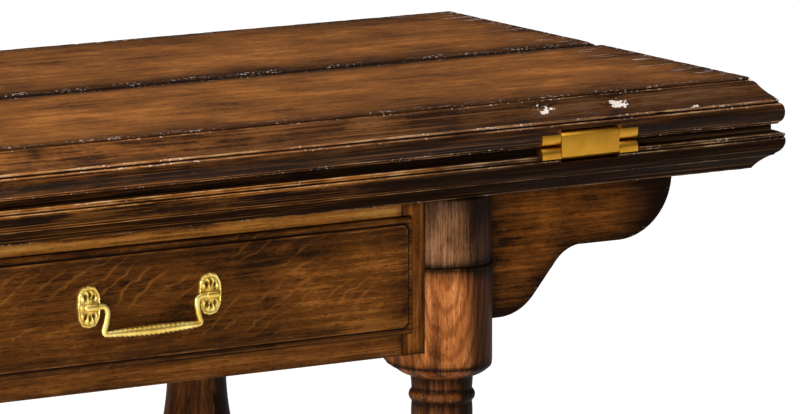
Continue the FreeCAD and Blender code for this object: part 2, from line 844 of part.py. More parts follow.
# Drawers
drawer_inner = centre_edge + dim.drawer_side_gap
drawer_outer = stile_edge - dim.drawer_side_gap
drawer_low = opening_low + dim.drawer_seat_gap
drawer_high = opening_high - dim.drawer_top_gap
lip_back = face_y + dim.drawer_seat_gap
tongue_back = lip_back - dim.drawer_tongue
side_high = drawer_high - dim.drawer_side_drop
drawer_back = apron_inner_y - dim.drawer_back_gap
bottom_low = drawer_low + dim.drawer_bottom_raise
bottom_high = bottom_low + dim.drawer_bottom_thickness
pull_level = (opening_low + opening_high) / 2 + dim.pull_raise
panel_half_width = (stile_edge - centre_edge) / 2 + dim.drawer_overlap
panel_half_height = (opening_high - opening_low) / 2 + dim.drawer_overlap
panel_level = (opening_low + opening_high) / 2


def panel_edge(half):
    """The lipped front's moulded edge, walked inwards from its back corner: bead, border and raised field."""
    bead, field = dim.drawer_bead_height, dim.drawer_front_proud
    border_end = half - dim.drawer_bead_run - dim.drawer_bead_flat
    return [
        (half, 0),
        (half, bead - dim.drawer_bead_run, dim.drawer_bead_run),
        (half - dim.drawer_bead_run, bead),
        (border_end, bead),
        (border_end, field),
    ]


def drawer_panel(name):
    """The moulded lip of a drawer front, lying with its back on the XY plane and its field facing up."""
    wide = panel_edge(panel_half_width)
    tall = panel_edge(panel_half_height)
    across = padded(f"{name}_across", "XZ_Plane", wide + mirrored(wide), panel_half_height * 2)
    upright = padded(f"{name}_upright", "YZ_Plane", tall + mirrored(tall), panel_half_width * 2)
    return common(name, across, upright)


def dovetailed_side(name, hand, near):
    """A drawer side whose front end carries the tails of a lapped dovetail joint."""
    root_y = -tongue_back
    tip_y = root_y - dim.dovetail_length
    middle = (drawer_low + side_high) / 2
    outline = [(drawer_back, drawer_low), (drawer_back, side_high), (root_y, side_high)]
    for number in range(DOVETAILS):
        centre = middle + dim.dovetail_pitch * ((DOVETAILS - 1) / 2 - number)
        outline += [
            (root_y, centre + dim.dovetail_root / 2),
            (tip_y, centre + dim.dovetail_tip / 2),
            (tip_y, centre - dim.dovetail_tip / 2),
            (root_y, centre - dim.dovetail_root / 2),
        ]
    outline.append((root_y, drawer_low))
    board = padded(name, "YZ_Plane", outline, dim.drawer_side_thickness)
    return place(board, ((near + dim.drawer_side_thickness / 2) * hand, 0, 0))


def build_drawer(hand_name):
    hand = HANDS[hand_name]
    name = f"{hand_name}_drawer"
    thickness = dim.drawer_side_thickness
    inside = (drawer_inner + thickness, drawer_outer - thickness)
    nears = {"inner": drawer_inner, "outer": drawer_outer - thickness}
    sides = {side_name: dovetailed_side(f"{name}_{side_name}_board", hand, near) for side_name, near in nears.items()}
    bottom_x = span(hand, inside[0] - dim.drawer_groove, inside[1] + dim.drawer_groove)
    bottom = box(f"{name}_bottom_board", bottom_x, (-(tongue_back + dim.drawer_groove), drawer_back),
                 (bottom_low, bottom_high))
    panel = drawer_panel(f"{name}_panel")
    place(panel, (drawer_middle * hand, -lip_back, panel_level), ALONG_Y[-1])
    tongue = box(f"{name}_tongue", span(hand, drawer_inner, drawer_outer), span(-1, tongue_back, lip_back),
                 (drawer_low, drawer_high))
    front = joined(f"{name}_front_blank", [panel, tongue])
    finished(f"{name}_front", cut(f"{name}_front_cut", front, list(sides.values()) + [bottom]))
    for side_name, board in sides.items():
        finished(f"{name}_{side_name}_side", cut(f"{name}_{side_name}_grooved", board, [bottom]))
    finished(f"{name}_back", box(f"{name}_back_board", span(hand, *inside),
                                 (drawer_back - dim.drawer_back_thickness, drawer_back), (bottom_high, side_high)))
    finished(f"{name}_bottom", bottom)


# Bail pulls
field_y = -(lip_back + dim.drawer_front_proud)
bail_axis_y = field_y - dim.bail_axis_reach


def pull_x(hand, end):
    """The middle of a rosette, at one end of the pull on the drawer of that hand."""
    return drawer_middle * hand + dim.pull_spacing / 2 * end


def oval(name, half_width, half_height, end_radius, thickness):
    """A flat oval of four arcs that stands on the XZ plane, half its thickness to each side."""
    rise = half_height - end_radius
    side_radius = ((half_width * half_width + rise * rise - end_radius * end_radius)
                   / ((half_width - end_radius) * 2))
    share = end_radius / (side_radius - end_radius)
    x = share * (side_radius - half_width)
    z = rise + share * rise
    return padded(name, "XZ_Plane", [
        (x, -z, side_radius),
        (x, z, end_radius),
        (-x, z, side_radius),
        (-x, -z, end_radius),
    ], thickness)


def rosette(name, hand, end):
    """An oval backplate with a raised boss, bored from its inner side for the bail."""
    rim = dim.rosette_rim
    middle = pull_x(hand, end)
    plates = {
        "base": (size_of(0), dim.rosette_base),
        "boss": (rim, dim.rosette_boss),
    }
    tiers = []
    for tier_name, (inset, thickness) in plates.items():
        tier = oval(f"{name}_{tier_name}", dim.rosette_width / 2 - inset, dim.rosette_height / 2 - inset,
                    dim.rosette_end_radius - inset, thickness)
        tiers.append(place(tier, (middle, field_y - thickness / 2, pull_level)))
    bore_start = middle if end < 0 else middle - dim.bail_bore_depth
    bore = rod(f"{name}_bore", dim.bail_radius + dim.bail_running_gap, dim.bail_bore_depth,
               (bore_start, bail_axis_y, pull_level), ALONG_X)
    return cut(name, joined(f"{name}_blank", tiers), [bore])


def bail(name, hand):
    """A faceted bar bent to a hanging loop, with round ends that turn in the rosettes."""
    arm, ease, drop = dim.bail_arm_spacing / 2, dim.bail_ease, dim.bail_drop
    shoulder = dim.pull_spacing / 2 - dim.rosette_width / 2 + dim.rosette_rim - dim.turn_gap
    half = [
        (shoulder, 0),
        (arm + ease, 0),
        (arm, -ease),
        (arm, -drop + ease),
        (arm - ease, -drop),
    ]
    path = doc.addObject("Sketcher::SketchObject", f"{name}_path")
    path.Placement = FreeCAD.Placement(FreeCAD.Vector(), FreeCAD.Rotation(FreeCAD.Vector(1, 0, 0), 90))
    draw(path, half + mirrored(half), closed=False)
    section = doc.addObject("Part::RegularPolygon", f"{name}_section")
    section.Polygon = 8
    section.setExpression("Circumradius", dim.bail_bar_radius.formula)
    place(section, (shoulder, 0, 0), ALONG_X)
    bar = doc.addObject("Part::Sweep", f"{name}_bar")
    bar.Sections = [section]
    bar.Spine = (path, [f"Edge{number + 1}" for number in range(path.GeometryCount)])
    bar.Solid = True
    bar.Transition = "Right corner"
    tip = dim.pull_spacing / 2 - dim.turn_gap
    starts = {"left": -tip, "right": shoulder - dim.bail_radius}
    ends = [rod(f"{name}_end_{end_name}", dim.bail_radius, tip - shoulder + dim.bail_radius, (start, 0, 0), ALONG_X)
            for end_name, start in starts.items()]
    loop = joined(name, [bar] + ends)
    return place(loop, (drawer_middle * hand, bail_axis_y, pull_level))


def build_pull(hand_name):
    hand = HANDS[hand_name]
    name = f"{hand_name}_pull"
    rosettes = [rosette(f"{name}_rosette_{end_name}", hand, end) for end_name, end in HANDS.items()]
    finished(f"{name}_rosettes", group(f"{name}_rosette_set", rosettes))
    finished(f"{name}_bail", bail(f"{name}_loop", hand))


def build_table():
    build_fixed_top()
    for side_name in SIDES:
        build_leaf(side_name)
        build_hinges(side_name)
    build_legs()
    for corner in CORNERS:
        build_knuckle(corner)
        build_bracket(corner)
    build_front_rails()
    build_rear_apron()
    build_centre()
    for hand_name in HANDS:
        build_front_stile(hand_name)
        build_end_apron(hand_name)
        build_drawer(hand_name)
        build_pull(hand_name)
    build_runners()
    build_kickers()
    build_cleats()
    doc.recompute()


def write_pieces():
    """Write every sub-part once the whole document is sound."""
    failed = [item.Name for item in doc.Objects if {"Invalid", "Error"} & set(item.State)]
    unsound = [item.Label for item in pieces if item.Shape.isNull() or not item.Shape.isValid()]
    if failed or unsound:
        raise RuntimeError(f"failed objects {failed}, unsound shapes {unsound}")
    os.makedirs("parts", exist_ok=True)
    for item in pieces:
        item.Shape.exportStep(f"parts/{item.Label}.step")
    print(len(pieces), "sub-parts,", sum(len(item.Shape.Solids) for item in pieces), "solids")


build_table()
write_pieces()
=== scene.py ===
import json
import math
from math import cos, pi, sin

import bmesh
import bpy
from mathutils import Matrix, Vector, noise
from mathutils.geometry import delaunay_2d_cdt, intersect_point_line


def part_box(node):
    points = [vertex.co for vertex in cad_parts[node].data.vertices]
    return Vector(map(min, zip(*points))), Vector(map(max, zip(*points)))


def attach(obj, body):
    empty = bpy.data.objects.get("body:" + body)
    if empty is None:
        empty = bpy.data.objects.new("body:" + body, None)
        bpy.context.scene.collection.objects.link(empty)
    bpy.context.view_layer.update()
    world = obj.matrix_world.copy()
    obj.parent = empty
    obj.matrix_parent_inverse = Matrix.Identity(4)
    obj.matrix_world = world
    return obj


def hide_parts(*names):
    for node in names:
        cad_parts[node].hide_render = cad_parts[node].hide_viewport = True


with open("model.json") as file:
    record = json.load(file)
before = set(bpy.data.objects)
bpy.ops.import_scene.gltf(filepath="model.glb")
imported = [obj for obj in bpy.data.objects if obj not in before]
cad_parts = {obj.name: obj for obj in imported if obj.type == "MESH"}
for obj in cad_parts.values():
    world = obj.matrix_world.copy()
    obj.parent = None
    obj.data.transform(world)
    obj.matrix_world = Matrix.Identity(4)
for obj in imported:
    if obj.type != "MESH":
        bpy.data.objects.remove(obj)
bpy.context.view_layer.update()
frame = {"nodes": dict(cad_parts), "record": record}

MM = 0.001
BODY_OF = {node: body for body, nodes in frame["record"]["behaviour"]["bodies"].items() for node in nodes}
SIDES = {"front": -1, "rear": 1}
HANDS = {"left": -1, "right": 1}
LEG_X, LEG_Y = 561.5 * MM, 198.5 * MM


# Node wiring

def put(tree, kind, inputs=None, **settings):
    """Place a node, set its options, then fill or wire its inputs. A kind with no prefix is a shader node."""
    made = tree.nodes.new(kind if kind.startswith("Geometry") else f"ShaderNode{kind}")
    for key, value in settings.items():
        setattr(made, key, value)
    for key, value in (inputs or {}).items():
        if isinstance(value, bpy.types.NodeSocket):
            tree.links.new(value, made.inputs[key])
        else:
            made.inputs[key].default_value = value
    return made


def first(tree, kind, inputs=None, **settings):
    """Place a node and give its first output."""
    return put(tree, kind, inputs, **settings).outputs[0]


def tree_of(values):
    """The tree that the wired ones among some values belong to."""
    return next(value.id_data for value in values if isinstance(value, bpy.types.NodeSocket))


def maths(kind, *values, clamp=False):
    return first(tree_of(values), "Math", dict(enumerate(values)), operation=kind, use_clamp=clamp)


def times(value, share, clamp=False):
    return maths("MULTIPLY", value, share, clamp=clamp)


def scaled(value, share, base, clamp=False):
    """A value times a share, on top of a base."""
    return maths("MULTIPLY_ADD", value, share, base, clamp=clamp)


def swayed(value, share, base, clamp=False):
    """A base that goes up and down by a share of a pattern whose middle is a half."""
    return scaled(maths("SUBTRACT", value, 0.5), share, base, clamp)


def vector_maths(kind, *values):
    return first(tree_of(values), "VectorMath", dict(enumerate(values)), operation=kind)


def mixed(share, under, over, mode="MIX"):
    """One colour laid over another by a share from 0 to 1."""
    tree, inputs = tree_of((share, under, over)), {0: share, 6: under, 7: over}
    return put(tree, "Mix", inputs, data_type="RGBA", blend_type=mode).outputs[2]


def between(value, low, high, out_low=0.0, out_high=1.0):
    """A smooth step of a value from low to high."""
    inputs = {"Value": value, "From Min": low, "From Max": high, "To Min": out_low, "To Max": out_high}
    return first(value.id_data, "MapRange", inputs, interpolation_type="SMOOTHSTEP")


def speckle(vector, stretch, detail, rough, shift=(0.0, 0.0, 0.0)):
    """Noise drawn out by a stretch in each direction."""
    tree = vector.id_data
    placed = first(tree, "Mapping", {"Vector": vector, "Location": shift, "Scale": stretch})
    inputs = {"Vector": placed, "Scale": 1.0, "Detail": detail, "Roughness": rough}
    return first(tree, "TexNoise", inputs)


def waves(vector, stretch, scale, sway, detail_scale, rough=0.5, **settings):
    """Uneven bands or rings, drawn out by a stretch in each direction."""
    inputs = {"Vector": vector_maths("MULTIPLY", vector, stretch), "Scale": scale, "Distortion": sway,
              "Detail": 3.0, "Detail Scale": detail_scale, "Detail Roughness": rough}
    return put(vector.id_data, "TexWave", inputs, **settings).outputs[1]


def parts_of(vector):
    return put(vector.id_data, "SeparateXYZ", {0: vector}).outputs


def mask(tree, name):
    return put(tree, "Attribute", attribute_name=name).outputs["Fac"]


def new_group(name, kind, inputs, outputs):
    """An empty node group with named sockets; gives the tree and the sockets of its two end nodes."""
    tree = bpy.data.node_groups.new(name, kind)
    for way, rows in (("INPUT", inputs), ("OUTPUT", outputs)):
        for socket_kind, labels in rows.items():
            for label in labels:
                tree.interface.new_socket(label, in_out=way, socket_type=f"NodeSocket{socket_kind}")
    return tree, tree.nodes.new("NodeGroupInput").outputs, tree.nodes.new("NodeGroupOutput").inputs


def tone(*parts):
    """A screen colour, red, green and blue from 0 to 255, as the light it stands for."""
    parts = [part / 255 for part in parts]
    return (*(p / 12.92 if p <= 0.04045 else ((p + 0.055) / 1.055) ** 2.4 for p in parts), 1.0)


# Finishes

BLACK = (0.0, 0.0, 0.0, 1.0)
WHITE = (1.0, 1.0, 1.0, 1.0)
# Painted shade with dirt for oak; dirt in the hollows of the brass.
OAK_SHADE_AND_DIRT, BRASS_GRIME = tone(26, 14, 7), tone(52, 34, 14)
# Bare wood with painted highlights for worn ridges; a whitish pale for painted glints, chips and scratches.
PALE_WEAR_AND_HIGHLIGHT, GLINT_AND_PALE_MARK = tone(214, 178, 130), tone(232, 218, 208)
# A greyer rub colour for parts away from the table's middle; a tint for growth rings.
OUTER_GREY, RING_SHADE = tone(112, 88, 68), tone(176, 156, 140)


def oak_grain_group():
    """Stained oak, grain along X: clouds, bands, lines, pores, rings, flecks, painted shade with dirt, and
    worn edges with painted highlights and sheen.
    """
    tree, given, out = new_group("oak_grain", "ShaderNodeTree", {
        "Vector": ["Vector"], "Color": ["Light", "Mid", "Dark"],
        "Float": ["Cloud", "Streak", "Figure", "Fleck", "Shade", "Wear", "Edge"],
    }, {"Color": ["Color"], "Float": ["Roughness", "Height"]})
    vector, light, edge = given["Vector"], given["Light"], given["Edge"]
    cloud = speckle(vector, (12, 20, 20), 6, 0.66)
    broad = speckle(vector, (4.5, 44, 44), 3, 0.5)
    fine = speckle(vector, (8, 640, 640), 3, 0.6, (2.0, 7.0, 1.0))
    lines = swayed(fine, 0.7, speckle(vector, (17, 280, 280), 4, 0.6))
    grit = speckle(vector, (260, 900, 900), 3, 0.7, (5.0, 2.0, 6.0))
    rings = waves(vector, (0.22, 1.0, 1.0), 17.0, 7.0, 1.1, bands_direction="Y")
    streak = scaled(edge, 0.9, given["Streak"])
    value = swayed(cloud, scaled(edge, 1.6, given["Cloud"]), 0.5)
    value = swayed(broad, streak, value)
    value = scaled(between(lines, 0.32, 0.68, -0.25, 0.25), streak, value)
    value = swayed(grit, 0.5, value)
    value = swayed(rings, given["Figure"], value, clamp=True)
    colour = mixed(between(value, 0.0, 0.5), given["Dark"], given["Mid"])
    colour = mixed(between(value, 0.45, 1.0), colour, light)
    swirl = waves(vector, (-0.62, 1.0, 1.0), 46.0, 9.0, 0.6, 0.6, bands_direction="DIAGONAL")
    patch = speckle(vector, (11, 26, 26), 3, 0.6, (1.0, 5.0, 2.0))
    fleck = times(between(swirl, 0.82, 0.99), between(patch, 0.47, 0.64))
    colour = mixed(times(fleck, given["Fleck"]), colour, light)
    pore = between(speckle(vector, (110, 1250, 1250), 2, 0.6), 0.56, 0.67)
    colour = mixed(times(pore, 0.6), colour, mixed(0.62, given["Dark"], BLACK))
    # Painted shade, with some dirt: darker by the shade mark.
    shade_and_dirt = times(given["Shade"], between(lines, 0.3, 0.7, 1.1, 0.8), clamp=True)
    colour = mixed(times(shade_and_dirt, maths("SUBTRACT", 2.0, shade_and_dirt)), colour, OAK_SHADE_AND_DIRT)
    # Pale lines along the mouldings: wear lines and painted sheen.
    wear_and_sheen_line = between(speckle(vector, (3, 460, 460), 4, 0.65, (8.0, 3.0, 5.0)), 0.53, 0.68, 0.0, 0.6)
    colour = mixed(times(wear_and_sheen_line, edge), colour, light)
    # Worn mouldings, lighter and then bare where worn most: wear with painted highlights on the ridges.
    wear_and_highlight = swayed(speckle(vector, (26, 150, 150), 4, 0.7, (4.0, 1.0, 8.0)), 2.0, given["Wear"])
    colour = mixed(times(between(wear_and_highlight, 0.45, 1.05, 0.0, 0.8), edge), colour, light)
    colour = mixed(times(between(wear_and_highlight, 0.85, 1.3, 0.0, 0.7), edge), colour, PALE_WEAR_AND_HIGHLIGHT)
    tree.links.new(colour, out["Color"])
    gloss = scaled(pore, 0.18, scaled(lines, 0.24, 0.32))
    tree.links.new(scaled(shade_and_dirt, 0.1, gloss), out["Roughness"])
    height = scaled(lines, 0.5, times(broad, 0.25))
    tree.links.new(scaled(pore, -0.5, height), out["Height"])
    return tree


def knocks_group():
    """Pits, chips and scratches that gather where the wood is exposed, as a dent height and a pale mask of
    painted glints, chips and scratches.
    """
    tree, given, out = new_group("knocks", "ShaderNodeTree", {
        "Vector": ["Vector"], "Float": ["Exposed", "Scuffed", "Chipped"],
    }, {"Float": ["Dent", "Glint_and_pale_mark"]})
    vector, exposed, chipped = given["Vector"], given["Exposed"], given["Chipped"]
    pits = speckle(vector, (330, 420, 420), 2, 0.5)
    dips = speckle(vector, (90, 170, 170), 3, 0.6, (3.1, 0.7, 5.2))
    pit = times(between(pits, 0.54, 0.64), exposed)
    dip = times(between(dips, 0.5, 0.7), exposed)
    tree.links.new(scaled(pit, -0.8, times(dip, -1.0)), out["Dent"])
    few = between(speckle(vector, (30, 80, 80), 3, 0.6, (9.0, 2.0, 4.0)), 0.44, 0.6, 0.0, 0.75)
    # Painted glints on a few of the pits.
    bright = times(times(between(pits, 0.60, 0.64), few), between(exposed, 0.25, 0.9))
    scratch = speckle(vector, (26, 520, 520), 2, 0.5, (6.0, 3.0, 2.0))
    scratch = times(between(scratch, 0.66, 0.71), given["Scuffed"])
    # Chips painted pale: bare wood and painted glints.
    chip_and_glint = swayed(pits, 1.3, swayed(dips, 1.2, chipped))
    chip_and_glint = times(between(chip_and_glint, 0.58, 0.7), between(chipped, 0.02, 0.2))
    tree.links.new(maths("MAXIMUM", bright, maths("MAXIMUM", chip_and_glint, scratch)), out["Glint_and_pale_mark"])
    return tree


def brass_group():
    """Handled brass: broad tarnish, fine rub marks and dirt in its hollows."""
    tree, given, out = new_group("handled_brass", "ShaderNodeTree", {
        "Vector": ["Vector"], "Color": ["Bright", "Dull"], "Float": ["Grime"],
    }, {"Color": ["Color"], "Float": ["Roughness", "Height"]})
    cloud = speckle(given["Vector"], (55, 55, 55), 4, 0.6)
    rub = speckle(given["Vector"], (60, 420, 420), 3, 0.5)
    colour = mixed(between(cloud, 0.35, 0.68), given["Dull"], given["Bright"])
    tree.links.new(mixed(times(given["Grime"], 0.85), colour, BRASS_GRIME), out["Color"])
    gloss = scaled(cloud, 0.16, scaled(rub, 0.12, 0.24))
    tree.links.new(scaled(given["Grime"], 0.25, gloss), out["Roughness"])
    tree.links.new(scaled(rub, 0.4, cloud), out["Height"])
    return tree


OAK_GRAIN = oak_grain_group()
KNOCKS = knocks_group()
HANDLED_BRASS = brass_group()
GRAIN_TURNS = {"x": (0.0, 0.0, 0.0), "y": (0.0, 0.0, -pi / 2), "z": (0.0, pi / 2, 0.0)}


def new_finish(name):
    finish = bpy.data.materials.new(name)
    finish.use_nodes = True
    finish.node_tree.nodes.clear()
    return finish, finish.node_tree


def oak(name, along, light, mid, dark, cloud, streak, figure, fleck=0.0, shift=(0, 0, 0), outer=None,
        glints_and_pale_marks=0.3, gloss=0.05, sheen=0.02, arch=None):
    """A stained and waxed oak whose grain runs along one axis of the table.

    Outer is (start, stop, share, drift): where it darkens away from the middle, how much and how unevenly.
    Arch is (centre, share): where arched growth rings lie, at each of the four corners, and their strength.
    """
    finish, tree = new_finish(name)
    place = put(tree, "TexCoord").outputs["Object"]
    turned = first(tree, "Mapping", {"Vector": place, "Rotation": GRAIN_TURNS[along], "Location": shift})
    shade, wear, edge = (mask(tree, label) for label in ("shade", "wear", "edge"))
    scuffed, pale = 0.0, tone(*light)
    # Darker and greyer away from the middle: painted shade on the outer half of columns and knuckles, darker
    # ends and tips elsewhere.
    if outer:
        start, stop, share, drift = outer
        reach = swayed(speckle(place, (5, 16, 16), 3, 0.6), drift, maths("ABSOLUTE", parts_of(place)[0]))
        outer_dark = times(between(reach, start, stop), scaled(edge, 0.31, share))
        shade = maths("ADD", outer_dark, shade, clamp=True)
        scuffed = times(between(reach, 0.76, 0.86), between(wear, 0.01, 0.1))
        scuffed = times(scuffed, maths("SUBTRACT", 1.0, edge))
        edge = scaled(outer_dark, -0.6, edge, clamp=True)
        pale = mixed(between(outer_dark, 0.12, 0.5, 0.0, 0.75), pale, OUTER_GREY)
    grain = put(tree, "Group", {
        "Vector": turned, "Light": pale, "Mid": tone(*mid), "Dark": tone(*dark), "Cloud": cloud,
        "Streak": streak, "Figure": figure, "Fleck": fleck, "Shade": shade, "Wear": wear, "Edge": edge,
    }, node_tree=OAK_GRAIN).outputs
    knock = put(tree, "Group", {
        "Vector": place, "Exposed": wear, "Scuffed": scuffed, "Chipped": mask(tree, "chip"),
    }, node_tree=KNOCKS).outputs
    colour = grain["Color"]
    if arch:
        spot = vector_maths("SUBTRACT", vector_maths("ABSOLUTE", place), arch[0])
        arches = waves(spot, (1.0, 1.0, 0.3), 58.0, 3.4, 1.6, 0.6, wave_type="RINGS",
                       rings_direction="SPHERICAL")
        head = between(parts_of(spot)[2], -0.1, -0.08, 0.0, arch[1])
        colour = mixed(times(between(arches, 0.5, 1.0), head), colour, RING_SHADE, "MULTIPLY")
    # Painted glints, pale chips and pale scratches.
    colour = mixed(times(knock["Glint_and_pale_mark"], glints_and_pale_marks), colour, GLINT_AND_PALE_MARK)
    height = maths("ADD", grain["Height"], knock["Dent"])
    normal = first(tree, "Bump", {"Strength": 0.35, "Distance": 1.2 * MM, "Height": height})
    skin = first(tree, "BsdfPrincipled", {
        "Base Color": colour, "Roughness": grain["Roughness"], "Normal": normal, "Specular IOR Level": sheen,
        "Coat Weight": times(edge, gloss), "Coat Roughness": 0.16,
    })
    put(tree, "OutputMaterial", {"Surface": skin})
    return finish


def brass(name, bright, dull, bump):
    finish, tree = new_finish(name)
    place = put(tree, "TexCoord").outputs["Object"]
    metal = put(tree, "Group", {
        "Vector": place, "Bright": tone(*bright), "Dull": tone(*dull), "Grime": mask(tree, "shade"),
    }, node_tree=HANDLED_BRASS).outputs
    normal = first(tree, "Bump", {"Strength": bump, "Distance": 0.4 * MM, "Height": metal["Height"]})
    skin = first(tree, "BsdfPrincipled", {
        "Base Color": metal["Color"], "Roughness": metal["Roughness"], "Normal": normal, "Metallic": 1.0,
    })
    put(tree, "OutputMaterial", {"Surface": skin})
    return finish


LEAF_OAK = oak("leaf_oak", "x", (180, 111, 50), (130, 78, 33), (66, 36, 14), 2.0, 0.3, 0.12,
               outer=(-0.2, 0.7, 0.09, 0.35), glints_and_pale_marks=1.0, gloss=0.16, sheen=0.012)
DECK_OAK = oak("deck_oak", "x", (176, 110, 46), (92, 52, 20), (32, 17, 7), 1.8, 0.7, 0.2,
               shift=(3.0, 0.4, 0.7), outer=(0.3, 0.75, 0.34, 0.35), glints_and_pale_marks=0.4, gloss=0.02, sheen=0.008)
# The outer half of every column and knuckle is darkened: painted shade.
COLUMN_OAK = oak("column_oak", "z", (224, 144, 84), (172, 100, 48), (90, 48, 20), 1.3, 0.55, 0.35,
                 shift=(0.3, 0.1, 0.6), outer=(LEG_X - 6 * MM, LEG_X + 12 * MM, 0.66, 0.01), sheen=0.03,
                 arch=((LEG_X - 16 * MM, LEG_Y + 30 * MM, 682 * MM), 0.6))
KNUCKLE_OAK = oak("knuckle_oak", "z", (176, 126, 86), (120, 80, 50), (46, 27, 15), 2.2, 0.8, 0.2,
                  shift=(1.7, 0.2, 0.9), outer=(LEG_X - 3 * MM, LEG_X + 12 * MM, 0.55, 0.02), sheen=0.03)
BRACKET_OAK = oak("bracket_oak", "x", (156, 90, 32), (108, 61, 21), (42, 22, 8), 2.8, 0.8, 0.3,
                  shift=(0.9, 0.8, 0.2), outer=(0.70, 0.775, 0.7, 0.08))
# The top rail is a lighter copy of the rail oak: painted light against the shade under the top's overhang.
LIT_TOP_RAIL_OAK = oak("top_rail_oak", "x", (244, 176, 88), (222, 144, 62), (128, 74, 28), 1.6, 0.9, 0.2,
                   shift=(2.6, 0.1, 0.4))
RAIL_OAK = oak("rail_oak", "x", (170, 106, 46), (124, 72, 28), (62, 34, 13), 1.6, 0.9, 0.2,
               shift=(2.1, 0.3, 0.4))
STILE_OAK = oak("stile_oak", "z", (196, 122, 52), (140, 80, 29), (56, 30, 11), 1.8, 1.0, 0.3,
                shift=(1.1, 0.6, 0.8))
SIDE_OAK = oak("end_apron_oak", "y", (158, 94, 38), (108, 61, 22), (50, 27, 10), 1.8, 1.0, 0.3,
               shift=(0.5, 0.2, 0.3))
DRAWER_OAK = oak("drawer_front_oak", "x", (164, 100, 40), (98, 56, 20), (44, 24, 9), 1.7, 0.6, 0.2, 0.42,
                 shift=(5.6, 0.1, 0.3), glints_and_pale_marks=0.0)
BOX_OAK = oak("drawer_box_oak", "y", (186, 140, 88), (158, 112, 66), (108, 70, 38), 1.2, 0.6, 0.3,
              shift=(0.2, 0.6, 0.1), glints_and_pale_marks=0.0)
CARCASE_OAK = oak("carcase_oak", "x", (168, 122, 74), (140, 96, 54), (92, 58, 32), 1.2, 0.6, 0.3,
                  shift=(0.8, 0.9, 0.4), glints_and_pale_marks=0.0)
HINGE_BRASS = brass("hinge_brass", (197, 144, 46), (180, 128, 38), 0.05)
PULL_BRASS = brass("pull_brass", (255, 232, 142), (224, 184, 82), 0.1)


# Meshes

CREASE = 38.0


def stand(name, data):
    """A new object in the scene."""
    made = bpy.data.objects.new(name, data)
    bpy.context.scene.collection.objects.link(made)
    return made


def piece(name, mesh, finish, node):
    """Stand a mesh in the scene as a finished piece on its body, in place of its CAD node."""
    made = stand(name, mesh)
    mesh.materials.clear()
    mesh.materials.append(finish)
    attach(made, BODY_OF[node])
    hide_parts(node)


def to_mesh(name, bm, crease=CREASE):
    """Close up a bmesh: smooth faces, with edges sharper than the crease kept sharp."""
    limit = math.radians(crease)
    for face in bm.faces:
        face.smooth = True
    for edge in bm.edges:
        edge.smooth = len(edge.link_faces) == 2 and edge.calc_face_angle() < limit
    mesh = bpy.data.meshes.new(name)
    bm.to_mesh(mesh)
    bm.free()
    return mesh


def stitched(bm, rows):
    """Close the skin between neighbouring rings of points."""
    for near, far in zip(rows, rows[1:]):
        for i in range(len(near)):
            j = (i + 1) % len(near)
            bm.faces.new((near[i], far[i], far[j], near[j]))


def cad_copy(node):
    """A merged copy of a CAD node with its flat faces made whole."""
    bm = bmesh.new()
    bm.from_mesh(frame["nodes"][node].data)
    for layer in list(bm.loops.layers.uv):
        bm.loops.layers.uv.remove(layer)
    bmesh.ops.remove_doubles(bm, verts=bm.verts, dist=0.01 * MM)
    bmesh.ops.dissolve_limit(bm, angle_limit=math.radians(0.5), verts=bm.verts, edges=bm.edges)
    return bm


def ease(bm, width, segments, shown):
    """Round over the sharp edges that are shown."""
    sharp = [edge for edge in bm.edges
             if len(edge.link_faces) == 2 and edge.calc_face_angle() > math.radians(CREASE)
             and all(shown(vert.co) for vert in edge.verts)]
    bmesh.ops.bevel(bm, geom=sharp, offset=width, offset_type="OFFSET", segments=segments, profile=0.5,
                    affect="EDGES", clamp_overlap=True)


def gap_to(point, lines):
    """The distance from a point to the nearest of some straight lines."""
    best = 1.0
    for start, stop in lines:
        spot, share = intersect_point_line(point, start, stop)
        if share <= 0 or share >= 1:
            spot = start if share <= 0 else stop
        best = min(best, (point - spot).length)
    return best


def grid_within(flat, spacing):
    """Points of an even grid inside a flat outline, kept clear of its rim."""
    low, high = (Vector([pick(p[i] for p in flat) for i in (0, 1)]) for pick in (min, max))
    span = high - low
    columns, rows = (max(1, round(size / spacing)) for size in span)
    grid = [low + Vector((span.x * (i + 0.5) / columns, span.y * (j + 0.5) / rows))
            for i in range(columns) for j in range(rows)]
    rim = [(flat[i - 1].to_3d(), flat[i].to_3d()) for i in range(len(flat))]
    return [p for p in grid if gap_to(p.to_3d(), rim) > spacing * 0.3]


def paint_rim_shade_and_dirt(bm, dark, fade, worn, spacing):
    """Divide the broad flat faces and darken them towards their real edges with painted shade and dirt; the
    rounds between are worn.
    """
    shade, wear = (bm.verts.layers.float.new(label) for label in ("shade", "wear"))
    for vert in bm.verts:
        vert[shade], vert[wear] = dark, worn
    for face in [face for face in bm.faces if face.calc_area() > 6 * spacing * spacing]:
        longest = max(face.edges, key=lambda edge: edge.calc_length())
        frame_x = (longest.verts[1].co - longest.verts[0].co).normalized()
        frame_y = face.normal.cross(frame_x).normalized()
        known = list(face.verts)
        base, count = known[0].co.copy(), len(known)
        flat = [Vector(((v.co - base).dot(frame_x), (v.co - base).dot(frame_y))) for v in known]
        rims = [tuple(v.co.copy() for v in edge.verts) for edge in face.edges
                if len(edge.link_faces) == 2 and edge.calc_face_angle() > 0.1]
        points, _, faces, source, _, _ = delaunay_2d_cdt(flat + grid_within(flat, spacing), [],
                                                         [list(range(count))], 1, 1e-7)
        verts = []
        for point, origins in zip(points, source):
            ring = [k for k in origins if k < count]
            spot = base + frame_x * point.x + frame_y * point.y
            verts.append(known[ring[0]] if ring else bm.verts.new(spot))
        for vert in verts:
            gap = gap_to(vert.co, rims) if rims else 1.0
            vert[shade], vert[wear] = dark * math.exp(-gap / fade), worn * math.exp(-gap / (0.4 * fade))
        bm.faces.remove(face)
        for corners in faces:
            if bm.faces.get([verts[i] for i in corners]) is None:
                bm.faces.new([verts[i] for i in corners])
    bm.normal_update()


